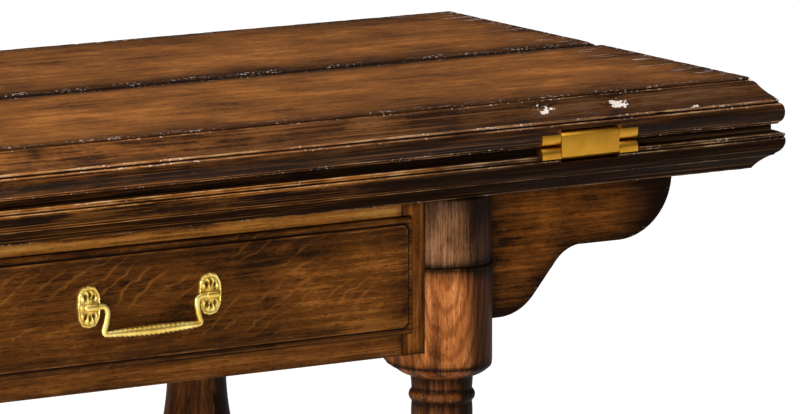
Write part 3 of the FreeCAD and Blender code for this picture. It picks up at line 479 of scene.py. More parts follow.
def eased_piece(node, finish, width=0.8 * MM, segments=2, dark=0.4, fade=6 * MM, worn=0.6, spacing=10 * MM,
                shown=lambda place: True):
    """A CAD node with its edges rounded over and, unless dark is nothing, painted shade and dirt along its
    rims.
    """
    bm = cad_copy(node)
    ease(bm, width, segments, shown)
    if dark:
        paint_rim_shade_and_dirt(bm, dark, fade, worn, spacing)
    piece(f"{node}_eased", to_mesh(node, bm), finish, node)


def bow(start, stop, radius, count=12):
    """Points of an arc. A positive radius bows to the left of the way from start to stop."""
    ahead = stop - start
    left = Vector((-ahead.y, ahead.x)).normalized()
    depth = math.sqrt(max(radius * radius - ahead.length_squared / 4, 0))
    centre = (start + stop) / 2 - left * math.copysign(depth, radius)
    opening = math.atan2(start.y - centre.y, start.x - centre.x)
    turn = 2 * math.asin(min(1, ahead.length / 2 / abs(radius))) * (-1 if radius > 0 else 1)
    angles = [opening + turn * i / count for i in range(count + 1)]
    return [centre + abs(radius) * Vector((cos(angle), sin(angle))) for angle in angles]


def outline(*steps):
    """A profile from corners (x, y) and arcs (x, y, radius to the next corner), in millimetres."""
    points = []
    for i, step in enumerate(steps):
        here = Vector(step[:2])
        points += bow(here, Vector(steps[i + 1][:2]), step[2])[:-1] if len(step) == 3 else [here]
    return points


def evened(points, step):
    """The same line with points about one step apart, its corners kept."""
    made = [points[0]]
    for a, b in zip(points, points[1:]):
        parts = max(1, round((b - a).length / step))
        made += [a.lerp(b, i / parts) for i in range(1, parts + 1)]
    return made


def softened(points, rounds):
    """The same line with its corners smoothed round."""
    for _ in range(rounds):
        inner = [(a + b * 2 + c) / 4 for a, b, c in zip(points, points[1:], points[2:])]
        points = [points[0]] + inner + [points[-1]]
    return points


def stacked(rings, spacing, lay=lambda x, y, z: Vector((x, y, z)), turns=0):
    """A moulded board from rings, from its face to its back.

    A ring is (left, right, near, far, height, marks, corner radius). The marks are (shade, wear, edge) for
    each of the near, right, far and left sides. With turns, each corner is an arc of that many steps.
    """
    bm = bmesh.new()
    layers = [bm.verts.layers.float.new(label) for label in ("shade", "wear", "edge")]
    left, right, near, far = rings[len(rings) // 2][:4]
    across, deep = max(2, round((right - left) / spacing)), max(2, round((far - near) / spacing))
    rows = []
    for left, right, near, far, height, marks, radius in rings:
        corners = [Vector(p) for p in ((left, near), (right, near), (right, far), (left, far), (left, near))]
        row = []
        for start, stop, parts, mark in zip(corners, corners[1:], (across, deep, across, deep), marks):
            ahead = (stop - start).normalized()
            inward = Vector((-ahead.y, ahead.x))
            start, stop = start + ahead * radius, stop - ahead * radius
            spots = [start.lerp(stop, i / parts) for i in range(parts + (turns > 0))]
            for i in range(1, turns):
                angle = pi / 2 * i / turns
                spots.append(stop + (ahead * sin(angle) + inward * (1 - cos(angle))) * radius)
            for spot in spots:
                vert = bm.verts.new(lay(spot.x, spot.y, height))
                for layer, value in zip(layers, mark):
                    vert[layer] = value
                row.append(vert)
        rows.append(row)
    stitched(bm, rows)
    bm.faces.new(rows[0])
    bm.faces.new(rows[-1][::-1])
    return bm


def knock_edges(bm, seed):
    """Knock the worn places of a mesh inwards, unevenly."""
    layer = bm.verts.layers.float["wear"]
    bm.normal_update()
    moves = []
    for vert in bm.verts:
        if vert[layer] > 0.02:
            place = vert.co / MM + Vector((seed, seed * 0.37, seed * 0.71))
            wave = 0.5 + 0.5 * noise.noise(place / LONG_KNOCK)
            dent = max(0.0, noise.noise(place / DENT)) * 1.1 + max(0.0, noise.noise(place / NICK)) * 0.6
            moves.append((vert, vert.normal * (-KNOCK_DEPTH * vert[layer] * (0.5 * wave + dent))))
    for vert, move in moves:
        vert.co += move


def chip_edges(bm, chips):
    """Knock single chips (x, y, z and size in millimetres) out of a mesh, down to the bare wood; they are
    painted pale, with painted glints.
    """
    chip = bm.verts.layers.float.new("chip")
    for *spot, size in chips:
        for vert in bm.verts:
            gap = vert.co / MM - Vector(spot)
            gap = math.hypot(gap.x / 2, gap.y, gap.z) / size
            if gap < 1:
                vert.co -= vert.normal * ((1 - gap) * CHIP_DEPTH)
                vert[chip] = 1 - gap


def plain_mesh(host):
    """What an object's modifiers make of it, as a plain mesh. The object is cleared away."""
    graph = bpy.context.evaluated_depsgraph_get()
    mesh = bpy.data.meshes.new_from_object(host.evaluated_get(graph))
    host.modifiers.clear()
    bpy.data.objects.remove(host)
    return mesh


def cut_away(mesh, prisms):
    """Cut pockets out of a mesh. A prism is its outline in X and Z and its two ends in Y."""
    bm = bmesh.new()
    for corners, ends in prisms:
        near, far = ([bm.verts.new((x, y, z)) for x, z in corners] for y in ends)
        bm.faces.new(near)
        bm.faces.new(far[::-1])
        stitched(bm, [near, far])
    bmesh.ops.recalc_face_normals(bm, faces=bm.faces)
    pockets = bpy.data.meshes.new("pockets")
    bm.to_mesh(pockets)
    bm.free()
    host, cutter = stand("host", mesh), stand("pockets", pockets)
    cut = host.modifiers.new("pockets", "BOOLEAN")
    cut.operation, cut.solver, cut.object = "DIFFERENCE", "EXACT", cutter
    done = plain_mesh(host)
    bpy.data.objects.remove(cutter)
    return done


# Tops

HALF_DEPTH = 254 * MM
HINGE_X = 669.5 * MM
PLATE_HALF, LINK_HALF = 46.6 * MM, 28.4 * MM
PLATE_HIGH, LINK_HIGH, POCKET_DEEP = 10.1 * MM, 13.4 * MM, 16.3 * MM
# Profiles are (out, up) and shades (up, shade), in millimetres; rings run in from the rim of a face or back.
LEAF_EDGE = outline(
    (-20.8, 0), (-20.8, -1.3), (-19.4, -1.6, -42), (-4.6, -17), (-3.2, -17.1), (-3.0, -18.9), (-4.4, -19.5),
    (-4.4, -20.1), (-2.3, -20.6, 16), (-2.6, -36.2), (-4.2, -36.6), (-4.4, -38),
)
DECK_EDGE = outline(
    (-8.7, 0), (-8.7, -6.5), (0, -6.5), (0, -9.6), (-1.1, -10), (-1.1, -10.7), (0, -11.1), (0, -14, 12.2),
    (-6.4, -24.6), (-6.4, -26), (-8.3, -26.2, -34), (-19.6, -36.6), (-20, -38),
)
# The shades paint shade down each profile: dark where it faces down and on the deck's ledge under the leaf,
# light on the leaf's cove, which faces up.
LEAF_SHADES = [
    (0, 0.55), (-1.7, 0.61), (-3.5, 0.16), (-9, 0.02), (-16, 0.17), (-17, 0.1), (-19, 0.27), (-19.6, 0.88),
    (-20.6, 0.29), (-24, 0.33), (-29, 0.55), (-36, 0.41), (-38, 0.88),
]
DECK_SHADES = [
    (0, 0.78), (-6.55, 0.95), (-7.4, 0.2), (-9.4, 0.29), (-10.3, 0.88), (-11.3, 0.29), (-14, 0.45),
    (-17, 0.68), (-24, 0.55), (-26, 0.45), (-27, 0.78), (-38, 0.88),
]
FACE_RINGS = ((75, 0, 0), (48, 0.05, 0.05), (28, 0.14, 0.15), (14, 0.27, 0.3), (6, 0.42, 0.6),
              (2, 0.58, 0.95))
BACK_RINGS = ((3, 0.4, 1), (9, 0.2, 0), (22, 0.06, 0), (45, 0, 0))
# The chips' pale patches are bare wood and painted glints.
LEAF_CHIPS = [
    (634, -240, 804, 9), (706, -240, 804, 8), (777, -248, 797, 4), (692, -251, 795, 3), (741, -251, 795, 3),
    (842, -234, 812, 4), (859, -250, 796, 4),
]
CHIPS = {"front_leaf": LEAF_CHIPS, "rear_leaf": [], "fixed_top": [(859, -251, 768, 5)]}
KNOCK_SEEDS = {"front_leaf": 4, "rear_leaf": 18, "fixed_top": 29}
LONG_KNOCK, DENT, NICK = 46, 9, 3.3
BOARD_STEP, KNOCK_DEPTH, CHIP_DEPTH = 5 * MM, 0.55 * MM, 1.6 * MM
SEAM_RUN, SEAM_DROP = 10, 3


def hinge_pockets(side, level, up):
    """Room for the plates and links of both hinges on one long edge, above or below the fold level."""
    right = [(PLATE_HALF, -MM), (PLATE_HALF, PLATE_HIGH), (LINK_HALF, PLATE_HIGH), (LINK_HALF, LINK_HIGH)]
    step = [(-PLATE_HALF, -MM)] + right + [(-x, z) for x, z in right[:0:-1]]
    ends = (side * (HALF_DEPTH - POCKET_DEEP), side * (HALF_DEPTH + 2 * MM))
    return [([(HINGE_X * hand + x, level + z * up) for x, z in step], ends) for hand in HANDS.values()]


def read_off(table, place):
    """A value from a table of (place, value) rows that runs downwards."""
    for (a, low), (b, high) in zip(table, table[1:]):
        if place >= b:
            return low + (high - low) * (a - place) / (a - b)
    return table[-1][1]


def profile_marks(lines, shades):
    """Rings (inset, drop, marks) down a profile: painted shade in its hollows; worn and lighter on its
    corners, with painted highlights.
    """
    rings, last = [], len(lines) - 1
    for i, point in enumerate(lines):
        bend = 0.4
        if 2 <= i < last - 1:
            bend = (lines[i + 2] - point).normalized().cross((point - lines[i - 2]).normalized())
        hollow, corner = max(0.0, -bend), max(0.0, bend)
        dark = max(0.0, min(1.0, read_off(shades, point.y) + hollow * 0.4 - corner * 0.35))
        rings.append((-point.x, point.y, (dark, min(1.0, 0.1 + corner * 1.6), 1.0 if point.y < -2 else 0.0)))
    return rings


def edge_rings(low, high, profile, shades, seam):
    """Rings of a top board from its profile of (out, up) points. A seam side has its own eased edge."""
    lines = softened(evened(profile, 0.7), 1)
    start, end, foot = -lines[0].x, -lines[-1].x, lines[-1].y
    rings = [(start + run, 0.0, (shade, wear, 0.0)) for run, shade, wear in FACE_RINGS]
    rings += profile_marks(lines, shades)
    rings += [(end + run, foot, (dark, 0.0, edge)) for run, dark, edge in BACK_RINGS]
    made = []
    for inset, drop, mark in rings:
        sides = [low[0] + inset * MM, high[0] - inset * MM, low[1] + inset * MM, high[1] - inset * MM]
        marks = [mark] * 4
        if seam is not None:
            far = seam < 0
            fall = min(1.0, -drop / SEAM_DROP)
            back = SEAM_RUN * (1 - fall) ** 1.6
            worn = 0.9 * (1 - fall)
            if drop == 0.0:
                back = SEAM_RUN + max(0.0, inset - start) * (0.45 if far else 0.8)
                worn = mark[1] ** 2
            # The seam side darkens as it drops into the seam: painted shade in the groove between the leaves.
            seam_mark = (min(1.0, mark[0] * 1.1 + fall * 0.6), worn, 0.0)
            if drop == foot:
                back, seam_mark = inset - end, (mark[0], mark[1], 0.0)
            sides[3 if far else 2] = (high[1] - back * MM) if far else (low[1] + back * MM)
            marks[2 if far else 0] = seam_mark
        made.append((*sides, high[2] + drop * MM, marks, 0.0))
    return made


def top_board(node, profile, shades, seam, pockets, finish):
    """A moulded top board with knocked edges, single chips and pockets for its hinges."""
    low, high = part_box(node)
    bm = stacked(edge_rings(low, high, profile, shades, seam), BOARD_STEP)
    knock_edges(bm, KNOCK_SEEDS[node])
    chip_edges(bm, CHIPS[node])
    mesh = cut_away(to_mesh(node, bm, crease=50), pockets)
    piece(f"{node}_moulded", mesh, finish, node)


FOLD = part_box("fixed_top")[1].z
for side_name, side in SIDES.items():
    leaf = f"{side_name}_leaf"
    pockets = hinge_pockets(side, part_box(leaf)[0].z, 1)
    top_board(leaf, LEAF_EDGE, LEAF_SHADES, side, pockets, LEAF_OAK)
pockets = hinge_pockets(-1, FOLD, -1) + hinge_pockets(1, FOLD, -1)
top_board("fixed_top", DECK_EDGE, DECK_SHADES, None, pockets, DECK_OAK)


# Geometry Nodes

def grown(name, host_mesh, tree, **sizes):
    """Run a geometry tree on a host mesh and give the result as a plain mesh."""
    host = stand(name, host_mesh)
    work = host.modifiers.new(name, "NODES")
    work.node_group = tree
    for socket in tree.interface.items_tree:
        label = socket.name.lower().replace(" ", "_")
        if socket.in_out == "INPUT" and label in sizes:
            work[socket.identifier] = sizes[label]
    return plain_mesh(host)


def points_mesh(name, points, joined=False, **marks):
    """A mesh of loose points or of one line through them, with float marks on the points."""
    mesh = bpy.data.meshes.new(name)
    mesh.from_pydata(points, [(i, i + 1) for i in range(len(points) - 1)] if joined else [], [])
    for label, values in marks.items():
        mesh.attributes.new(label, "FLOAT", "POINT").data.foreach_set("value", values)
    return mesh


def held(tree, label):
    """A float mark of the mesh that a geometry tree works on."""
    return first(tree, "GeometryNodeInputNamedAttribute", {"Name": label}, data_type="FLOAT")


def sampled(line, value, row, kind):
    """A value of one point of a line."""
    inputs = {"Geometry": line, "Value": value, "Index": row}
    made = put(row.id_data, "GeometryNodeSampleIndex", inputs, data_type=kind, domain="POINT")
    return made.outputs["Value"]


def then(shape, kind, inputs=None, **settings):
    """The next step of a geometry tree, which takes a shape and gives a shape."""
    return first(shape.id_data, f"GeometryNode{kind}", {0: shape, **(inputs or {})}, **settings)


def finished_shape(shape, finish, out):
    """End a geometry tree with plain geometry in its finish."""
    shape = then(then(shape, "RealizeInstances"), "SetMaterial", {"Material": finish})
    shape.id_data.links.new(shape, out)


def turning_tree():
    """Turn a line of (radius, 0, height) points on a lathe, with one square inner corner left on the head."""
    tree, given, out = new_group("turning", "GeometryNodeTree", {
        "Geometry": ["Places"], "Object": ["Line"], "Int": ["Rows", "Facets"],
        "Float": ["Corner", "Corner Round", "Corner Low", "Corner Low Radius", "Corner Slope", "Head Radius"],
        "Material": ["Finish"],
    }, {"Geometry": ["Shape"]})
    line = put(tree, "GeometryNodeObjectInfo", {"Object": given["Line"]}).outputs["Geometry"]
    columns = maths("ADD", given["Facets"], 1)
    shape = first(tree, "GeometryNodeMeshGrid", {"Size X": 1.0, "Size Y": 1.0, "Vertices X": columns,
                                                 "Vertices Y": given["Rows"]})
    where = first(tree, "GeometryNodeInputPosition")
    along, up = parts_of(where)[:2]
    angle = times(maths("ADD", along, 0.5), 2 * pi)
    row = maths("ROUND", times(maths("ADD", up, 0.5), maths("SUBTRACT", given["Rows"], 1)))
    spot = parts_of(sampled(line, where, row, "FLOAT_VECTOR"))
    cosine, sine = maths("COSINE", angle), maths("SINE", angle)
    widest = maths("MAXIMUM", maths("ABSOLUTE", cosine), maths("ABSOLUTE", sine))
    square = maths("SMOOTH_MIN", maths("DIVIDE", given["Corner"], widest), given["Corner Round"], 4 * MM)
    rise = maths("SUBTRACT", spot[2], given["Corner Low"])
    cone = scaled(rise, given["Corner Slope"], given["Corner Low Radius"])
    inside = times(maths("LESS_THAN", cosine, 0.0), maths("GREATER_THAN", sine, 0.0))
    inside = times(inside, maths("GREATER_THAN", rise, 0.0))
    inside = times(inside, maths("GREATER_THAN", spot[0], given["Head Radius"]))
    radius = maths("MAXIMUM", spot[0], times(maths("MINIMUM", square, cone), inside))
    place = first(tree, "CombineXYZ", {0: times(radius, cosine), 1: times(radius, sine), 2: spot[2]})
    for label in ("shade", "wear"):
        inputs = {"Name": label, "Value": sampled(line, held(tree, label), row, "FLOAT")}
        shape = then(shape, "StoreNamedAttribute", inputs, data_type="FLOAT", domain="POINT")
    shape = then(shape, "SetPosition", {"Position": place})
    shape = then(shape, "MergeByDistance", {"Distance": 0.005 * MM})
    shape = then(shape, "FlipFaces")
    spun = first(tree, "CombineXYZ", {2: held(tree, "turn")})
    shape = then(given["Places"], "InstanceOnPoints", {"Instance": shape, "Rotation": spun})
    finished_shape(shape, given["Finish"], out["Shape"])
    return tree


def rope_bar_tree():
    """A bar of fluted section drawn along a line and twisted as it goes."""
    tree, given, out = new_group("twisted_bar", "GeometryNodeTree", {
        "Geometry": ["Line"], "Int": ["Flutes"], "Float": ["Crest Radius", "Flute Radius"],
        "Material": ["Finish"],
    }, {"Geometry": ["Shape"]})
    line = then(then(given["Line"], "MeshToCurve"), "SetCurveTilt", {"Tilt": held(tree, "twist")})
    section = first(tree, "GeometryNodeCurveStar", {
        "Points": given["Flutes"], "Inner Radius": given["Flute Radius"],
        "Outer Radius": given["Crest Radius"]})
    inputs = {"Profile Curve": section, "Scale": held(tree, "girth"), "Fill Caps": True}
    bar = then(then(line, "CurveToMesh", inputs), "SetShadeSmooth")
    finished_shape(bar, given["Finish"], out["Shape"])
    return tree


TURNING = turning_tree()
ROPE_BAR = rope_bar_tree()


# Legs, knuckles and brackets

LEG_TURNS = {("front", "right"): 0.0, ("rear", "right"): pi / 2, ("rear", "left"): pi,
             ("front", "left"): -pi / 2}
COLUMN_RADIUS, HEAD_ROUND = 41.2 * MM, 48.6 * MM
NECK_HEIGHT, NECK_RADIUS, HEAD_RADIUS = 586.4 * MM, 26.5 * MM, 25.8 * MM
LEG_LINE = outline(
    (0, 0), (22.5, 0), (24, 1.5), (24, 28.5), (22.8, 30), (20.5, 30), (36.6, 350, -288), (34.85, 460, 248),
    (25.4, 528), (25.2, 562), (24.6, 564), (24.9, 565.4, -5.6), (24.9, 574.6), (24.6, 576), (25.2, 578),
    (25.4, 586.4), (26.6, 587, -20), (38.6, 593), (39.6, 593.4), (40.2, 594.6), (41.2, 595.4), (41.2, 679.4),
    (40.9, 679.7), (11, 679.7), (11, 754.7), (0, 754.7),
)
# Painted shade down the legs: dark at the column's lower edge, the bevel and the ring's grooves, darker on
# the lower legs and the foot.
LEG_SHADES = [
    (755, 0), (682, 0), (679, 0.9), (675, 0.3), (666, 0), (604, 0.05), (599.4, 0.2), (598, 0.85),
    (596.4, 0.95), (595, 0.4), (592, 0.22), (588, 0.35), (585.5, 0.8), (584, 0.9), (581, 0.5), (578, 0.5),
    (576, 0.9), (574.4, 0.6), (572, 0.3), (569, 0.4), (566.5, 0.85), (564.5, 0.92), (562, 0.65), (556, 0.45),
    (530, 0.55), (500, 0.62), (350, 0.42), (90, 0.45), (32, 0.9), (0, 0.7),
]
# Wear down the legs, which dents them and, on the bevel and the ring, places painted glints.
LEG_WEAR_AND_GLINTS = [
    (755, 0), (599, 0), (596, 0.4), (593, 0.6), (589, 0.3), (585, 0), (574, 0.2), (571, 0.8), (567, 0.3),
    (564, 0), (60, 0.1), (28, 0.7), (0, 0.5),
]
KNUCKLE_LINE = outline(
    (11.2, 680), (38.9, 680), (39.8, 680.9), (39.8, 735.4), (38.8, 736.4), (11.2, 736.4), (11.2, 680),
)
# Painted shade on the knuckles: dark at the top, under the table top, and darkest at the foot against the
# column.
KNUCKLE_SHADES = [
    (737, 0.75), (734, 0.5), (722, 0.3), (708, 0.08), (694, 0), (687, 0.1), (684, 0.33),
    (681, 0.88), (680, 0.88),
]
KNUCKLE_WEARS = [(737, 0.5), (733, 0), (683, 0), (680, 0.6)]


def lathe_line(name, profile, step, rubs, shades, wears):
    """A line for the lathe from (radius, height) points in millimetres and tables of its shade and wear."""
    points = softened(evened(profile, step), rubs)
    shade, wear = ([read_off(table, p.y) for p in points] for table in (shades, wears))
    mesh = points_mesh(name, [(p.x * MM, 0.0, p.y * MM) for p in points], True, shade=shade, wear=wear)
    return stand(name, mesh)


def turned_piece(node, corners, line, finish, **sizes):
    """One turning on each of some corners of the table, as a single piece."""
    places = [(LEG_X * HANDS[hand], LEG_Y * SIDES[side], 0.0) for side, hand in corners]
    spots = points_mesh(f"{node}_places", places, turn=[LEG_TURNS[corner] for corner in corners])
    mesh = grown(node, spots, TURNING, line=line, rows=len(line.data.vertices), finish=finish, **sizes)
    piece(f"{node}_turned", mesh, finish, node)


leg_line = lathe_line("leg_line", LEG_LINE, 4.0, 1, LEG_SHADES, LEG_WEAR_AND_GLINTS)
turned_piece("legs", list(LEG_TURNS), leg_line, COLUMN_OAK, facets=80, corner=COLUMN_RADIUS,
             corner_round=HEAD_ROUND, corner_low=NECK_HEIGHT, corner_low_radius=NECK_RADIUS, corner_slope=1.9,
             head_radius=HEAD_RADIUS)
knuckle_line = lathe_line("knuckle_line", KNUCKLE_LINE, 3.0, 0, KNUCKLE_SHADES, KNUCKLE_WEARS)
for corner in LEG_TURNS:
    turned_piece("knuckle_{}_{}".format(*corner), [corner], knuckle_line, KNUCKLE_OAK, facets=96,
                 corner_low=1.0, head_radius=1.0)
for spare in (leg_line, knuckle_line):
    bpy.data.objects.remove(spare)
for corner in LEG_TURNS:
    eased_piece("bracket_{}_{}".format(*corner), BRACKET_OAK, 1.1 * MM, 3, 0.62, 9 * MM, 0.7, 6 * MM,
                shown=lambda place: abs(place.x) > LEG_X + COLUMN_RADIUS + 0.3 * MM)


# Frame, drawers and hinges

PANEL_DEEP = 6.7 * MM
PANEL_RINGS = [  # inset, drop, shade, wear
    (40, 0, 0, 0), (26, 0, 0.04, 0), (16, 0, 0.14, 0), (9.5, 0, 0.34, 0.2), (7.2, 0, 0.3, 0.7),
    (6.8, -0.15, 0.2, 0.9), (6.5, -0.6, 0.5, 0.3), (6.2, -1.4, 0.95, 0), (5.8, -1.7, 1, 0),
    (5.3, -1.7, 0.8, 0), (4.6, -1.55, 0.3, 0.2), (3.7, -1.5, 0.2, 0.4), (2.6, -1.55, 0.15, 0.6),
    (1.6, -1.85, 0.2, 0.5), (0.8, -2.5, 0.4, 0.3), (0.2, -3.5, 0.7, 0.1), (0, -4.7, 0.95, 0),
    (0, -6.7, 1, 0), (4, -6.7, 1, 0),
]


def drawer_front(node):
    """A lipped drawer front: bead, quirk, border and raised field, on the CAD tongue behind it."""
    low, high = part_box(node)
    rings = []
    for inset, drop, dark, worn in PANEL_RINGS:
        run = inset * MM
        rings.append((low.x + run, high.x - run, low.z + run, high.z - run, drop * MM,
                      [(dark, worn, 0.6 * worn)] * 4, min(6.0, 2 + inset * 0.5) * MM))
    bm = stacked(rings, 12 * MM, lambda x, z, out: Vector((x, low.y - out, z)), turns=6)
    panel = to_mesh(f"{node}_panel", bm, crease=60)
    bm = cad_copy(node)
    cut = bmesh.ops.bisect_plane(bm, geom=bm.verts[:] + bm.edges[:] + bm.faces[:], plane_no=(0, -1, 0),
                                 plane_co=(0, low.y + PANEL_DEEP - 0.4 * MM, 0), clear_outer=True)
    rim = [part for part in cut["geom_cut"] if isinstance(part, bmesh.types.BMEdge)]
    bmesh.ops.contextual_create(bm, geom=rim)
    bmesh.ops.recalc_face_normals(bm, faces=bm.faces)
    bm.verts.layers.float.new("shade")
    bm.from_mesh(panel)
    bpy.data.meshes.remove(panel)
    piece(f"{node}_fielded", to_mesh(node, bm, crease=40), DRAWER_OAK, node)


for node, finish in {
    "front_top_rail": LIT_TOP_RAIL_OAK, "front_bottom_rail": RAIL_OAK, "rear_apron": RAIL_OAK,
    "end_apron_left": SIDE_OAK, "end_apron_right": SIDE_OAK, "centre_partition": BOX_OAK,
    "drawer_runners": BOX_OAK, "drawer_kickers": BOX_OAK, "top_cleats": CARCASE_OAK,
}.items():
    eased_piece(node, finish)
for node in ("front_stile_left", "front_stile_right", "front_centre_stile"):
    eased_piece(node, STILE_OAK, dark=0.75, fade=5 * MM, spacing=4 * MM)
for hand_name in HANDS:
    for part in ("inner_side", "outer_side"):
        eased_piece(f"{hand_name}_drawer_{part}", BOX_OAK, 0.5 * MM, dark=0.14)
    eased_piece(f"{hand_name}_drawer_back", CARCASE_OAK, 0.5 * MM, dark=0.14)
    eased_piece(f"{hand_name}_drawer_bottom", CARCASE_OAK, 0.3 * MM, dark=0.14, spacing=20 * MM)
    drawer_front(f"{hand_name}_drawer_front")
for side_name in SIDES:
    for part in ("lower_plates", "upper_plates", "links"):
        eased_piece(f"{side_name}_hinge_{part}", HINGE_BRASS, 0.35 * MM, dark=0)


# Pulls

PULL_AXIS = Vector((0.0, -236.4, 681.2)) * MM
POST_X, EYE_HALF, EYE_RADIUS, EYE_FACETS = 55 * MM, 3.6 * MM, 3.3 * MM, 24
ROSETTE_HALF_WIDE, ROSETTE_HALF_TALL, ROSETTE_SQUARE = 10.6 * MM, 17.6 * MM, 2.6
ROSETTE_BANDS, ROSETTE_STEPS = 30, 96
HOLLOW_ANGLES, HOLLOW_REACH = (50, 90, 130, 230, 270, 310), 0.52
BAIL_DROP, BAR_HALF, BAR_SWELL, BAR_TWIST = 22.6, 43, 0.7, 0.24
BAIL_ARM = ((52, 0), (43.5, 0), (41, -2.4), (40.4, -6.5), (41.8, -14), (44.2, 1.5 - BAIL_DROP),
            (42.6, -BAIL_DROP), (0, -BAIL_DROP - 0.6))


def around(steps):
    """Even angles round a full turn."""
    return [2 * pi * i / steps for i in range(steps)]


def bump_at(gap, width, power=2):
    """A smooth bump that is 1 in its middle."""
    return math.exp(-(gap / width) ** power)


def rosette_height(share, turn):
    """How far an oval back plate stands out, and how dark it is, at a share of its reach and an angle."""
    rim = bump_at(share - 0.9, 0.06) * (0.75 + 0.25 * cos(36 * turn))
    petal = bump_at(share - 0.62, 0.16) * (0.5 + 0.5 * cos(10 * turn))
    petal *= 0.35 + 0.65 * abs(sin(turn))
    boss = bump_at(share, 0.34, 4)
    hollow = 0.0
    for angle in map(math.radians, HOLLOW_ANGLES):
        away = math.hypot(share * cos(turn) - HOLLOW_REACH * cos(angle),
                          share * sin(turn) - HOLLOW_REACH * sin(angle))
        hollow = max(hollow, bump_at(away, 0.13))
    lift = 0.16 + 0.24 * (1 - share * share) + 0.16 * rim + 0.2 * petal + 0.26 * boss - 0.3 * hollow
    dark = 0.4 + 0.9 * hollow - 1.2 * rim - 0.9 * petal - 0.7 * boss
    return max(0.06, min(0.9, lift)), max(0.0, min(1.0, dark))


def post_eye(bm, middle):
    """The eye of a pull's post: a bar along X with round ends."""
    turns = around(EYE_FACETS)
    quarter = turns[:EYE_FACETS // 4 + 1]
    stops = [(-EYE_HALF - EYE_RADIUS * cos(turn), EYE_RADIUS * sin(turn)) for turn in quarter]
    stops += [(-along, wide) for along, wide in stops[::-1]]
    stitched(bm, [[bm.verts.new(middle + Vector((along, wide * cos(turn), wide * sin(turn))))
                   for turn in turns] for along, wide in stops])


def rosettes(hand_name):
    """Two cast back plates with a raised rim, petals and hollows, each with the eye of its post across it."""
    node = f"{hand_name}_pull_rosettes"
    low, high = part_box(node)
    middle = (low + high) / 2
    bm = bmesh.new()
    shade = bm.verts.layers.float.new("shade")
    for hand in HANDS.values():
        centre = Vector((middle.x + POST_X * hand, high.y, middle.z))
        rows = []
        for share in (band / ROSETTE_BANDS for band in range(ROSETTE_BANDS + 1)):
            row = []
            for turn in around(ROSETTE_STEPS):
                corner = sum(abs(part) ** ROSETTE_SQUARE for part in (cos(turn), sin(turn)))
                reach = share * corner ** (-1 / ROSETTE_SQUARE)
                reach *= 1 - 0.03 * (0.5 - 0.5 * cos(12 * turn))
                lift, dark = rosette_height(share, turn)
                lift *= (high.y - low.y) * min(1.0, (1 - share) / 0.03 + 0.35)
                vert = bm.verts.new(centre + Vector((ROSETTE_HALF_WIDE * reach * cos(turn), -lift,
                                                     ROSETTE_HALF_TALL * reach * sin(turn))))
                vert[shade] = dark
                row.append(vert)
            rows.append(row)
        rows.append([bm.verts.new((vert.co.x, high.y, vert.co.z)) for vert in rows[-1]])
        stitched(bm, rows)
        bm.faces.new(rows[-1][::-1])
        post_eye(bm, Vector((centre.x, PULL_AXIS.y, PULL_AXIS.z)))
    bmesh.ops.remove_doubles(bm, verts=bm.verts, dist=0.002 * MM)
    bmesh.ops.recalc_face_normals(bm, faces=bm.faces)
    piece(f"{node}_cast", to_mesh(node, bm, crease=60), PULL_BRASS, node)


def bail(hand_name):
    """The hanging handle: two arms that bow out and a twisted bar, thickest in the middle."""
    node = f"{hand_name}_pull_bail"
    low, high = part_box(node)
    middle = (low.x + high.x) / 2
    half = softened(evened([Vector(spot) for spot in BAIL_ARM], 0.7), 4)
    line = [Vector((-p.x, p.y)) for p in half] + half[::-1][1:]
    points, girth, twist, turned = [], [], [], 0.0
    for i, p in enumerate(line):
        points.append((middle + p.x * MM, PULL_AXIS.y, PULL_AXIS.z + p.y * MM))
        bar = max(0.0, 1 - abs(p.x) / BAR_HALF) if p.y < 1.5 - BAIL_DROP else 0.0
        girth.append(1 + BAR_SWELL * sin(bar * pi / 2))
        turned += (p - line[i - 1]).length * BAR_TWIST if bar else 0.0
        twist.append(turned)
    spine = points_mesh(f"{node}_line", points, True, girth=girth, twist=twist)
    mesh = grown(node, spine, ROPE_BAR, flutes=6, crest_radius=2.6 * MM, flute_radius=2.0 * MM,
                 finish=PULL_BRASS)
    piece(f"{node}_twisted", mesh, PULL_BRASS, node)


for hand_name in HANDS:
    rosettes(hand_name)
    bail(hand_name)


# Floor, light and camera

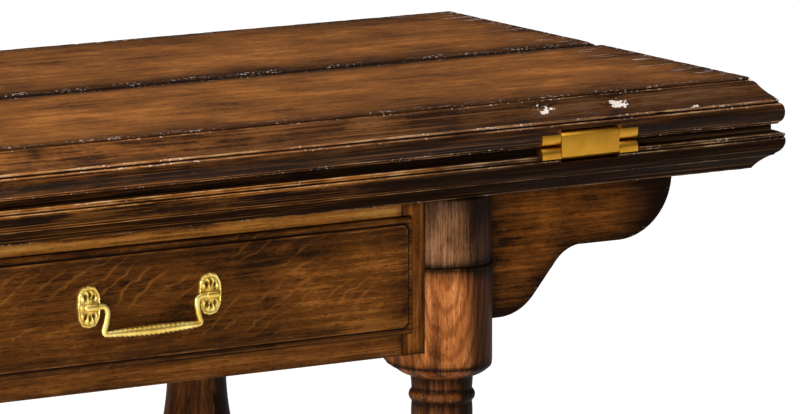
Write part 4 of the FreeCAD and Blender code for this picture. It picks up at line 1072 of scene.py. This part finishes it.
def floor_finish():
    """A plain pale floor, white to camera and gloss, that keeps the table's shadow; clear from below."""
    finish, tree = new_finish("studio_floor")
    faint = speckle(put(tree, "TexCoord").outputs["Object"], (0.6, 0.6, 0.6), 2, 0.5)
    colour = mixed(faint, (0.93, 0.93, 0.93, 1.0), (0.95, 0.95, 0.95, 1.0))
    matt = first(tree, "BsdfDiffuse", {"Color": colour})
    glow = first(tree, "Emission", {"Color": WHITE, "Strength": 1.3})
    rays = put(tree, "LightPath").outputs
    seen = maths("MAXIMUM", maths("MAXIMUM", rays["Is Camera Ray"], rays["Is Glossy Ray"]),
                 rays["Is Transmission Ray"])
    both = first(tree, "MixShader", {0: times(seen, 0.72), 1: matt, 2: glow})
    below = put(tree, "NewGeometry").outputs["Backfacing"]
    clear = first(tree, "BsdfTransparent")
    whole = first(tree, "MixShader", {0: below, 1: both, 2: clear})
    put(tree, "OutputMaterial", {"Surface": whole})
    return finish


floor_mesh = bpy.data.meshes.new("studio_floor")
floor_mesh.from_pydata([(-90, -90, 0), (90, -90, 0), (90, 90, 0), (-90, 90, 0)], [], [(0, 1, 2, 3)])
floor_mesh.materials.append(floor_finish())
floor = stand("studio_floor", floor_mesh)

world = bpy.data.worlds.new("studio_air")
bpy.context.scene.world = world
world.use_nodes = True
air = world.node_tree
air.nodes.clear()
upward = parts_of(put(air, "TexCoord").outputs["Generated"])[2]
seen = put(air, "LightPath").outputs["Is Camera Ray"]
level = maths("MAXIMUM", between(upward, 0.0, 1.0, 0.14, 0.6), seen)
sky = first(air, "Background", {"Color": WHITE, "Strength": level})
put(air, "OutputWorld", {"Surface": sky})


def facing(way):
    """The turn that points a lamp or a camera along a way."""
    return way.to_track_quat("-Z", "Y").to_euler()


def lamp(name, place, aim, size, power):
    """A soft box that points at a place on the table."""
    data = bpy.data.lights.new(name, "AREA")
    data.shape, data.size, data.size_y, data.energy = "RECTANGLE", size[0], size[1], power
    made = stand(name, data)
    made.location = place
    made.rotation_euler = facing(Vector(aim) - Vector(place))


lamp("key_light", (-4.4, -1.3, 2.3), (0.2, 0.0, 0.6), (1.5, 1.5), 142)
lamp("top_light", (0.2, -0.6, 3.4), (0.2, 0.0, 0.8), (2.4, 1.6), 46)
lamp("front_light", (-3.0, -4.0, 0.55), (0.3, 0.0, 0.65), (1.4, 0.8), 52)

camera_data = bpy.data.cameras.new("camera")
camera_data.sensor_width = 36.0
camera_data.lens = 306.9
camera = stand("camera", camera_data)
camera.location = (-2.3648, -4.8172, 1.6521)
camera.rotation_euler = facing(Vector((0.52245, 0.83610, -0.16729)))
bpy.context.scene.camera = camera
bpy.context.scene.view_settings.view_transform = "Standard"
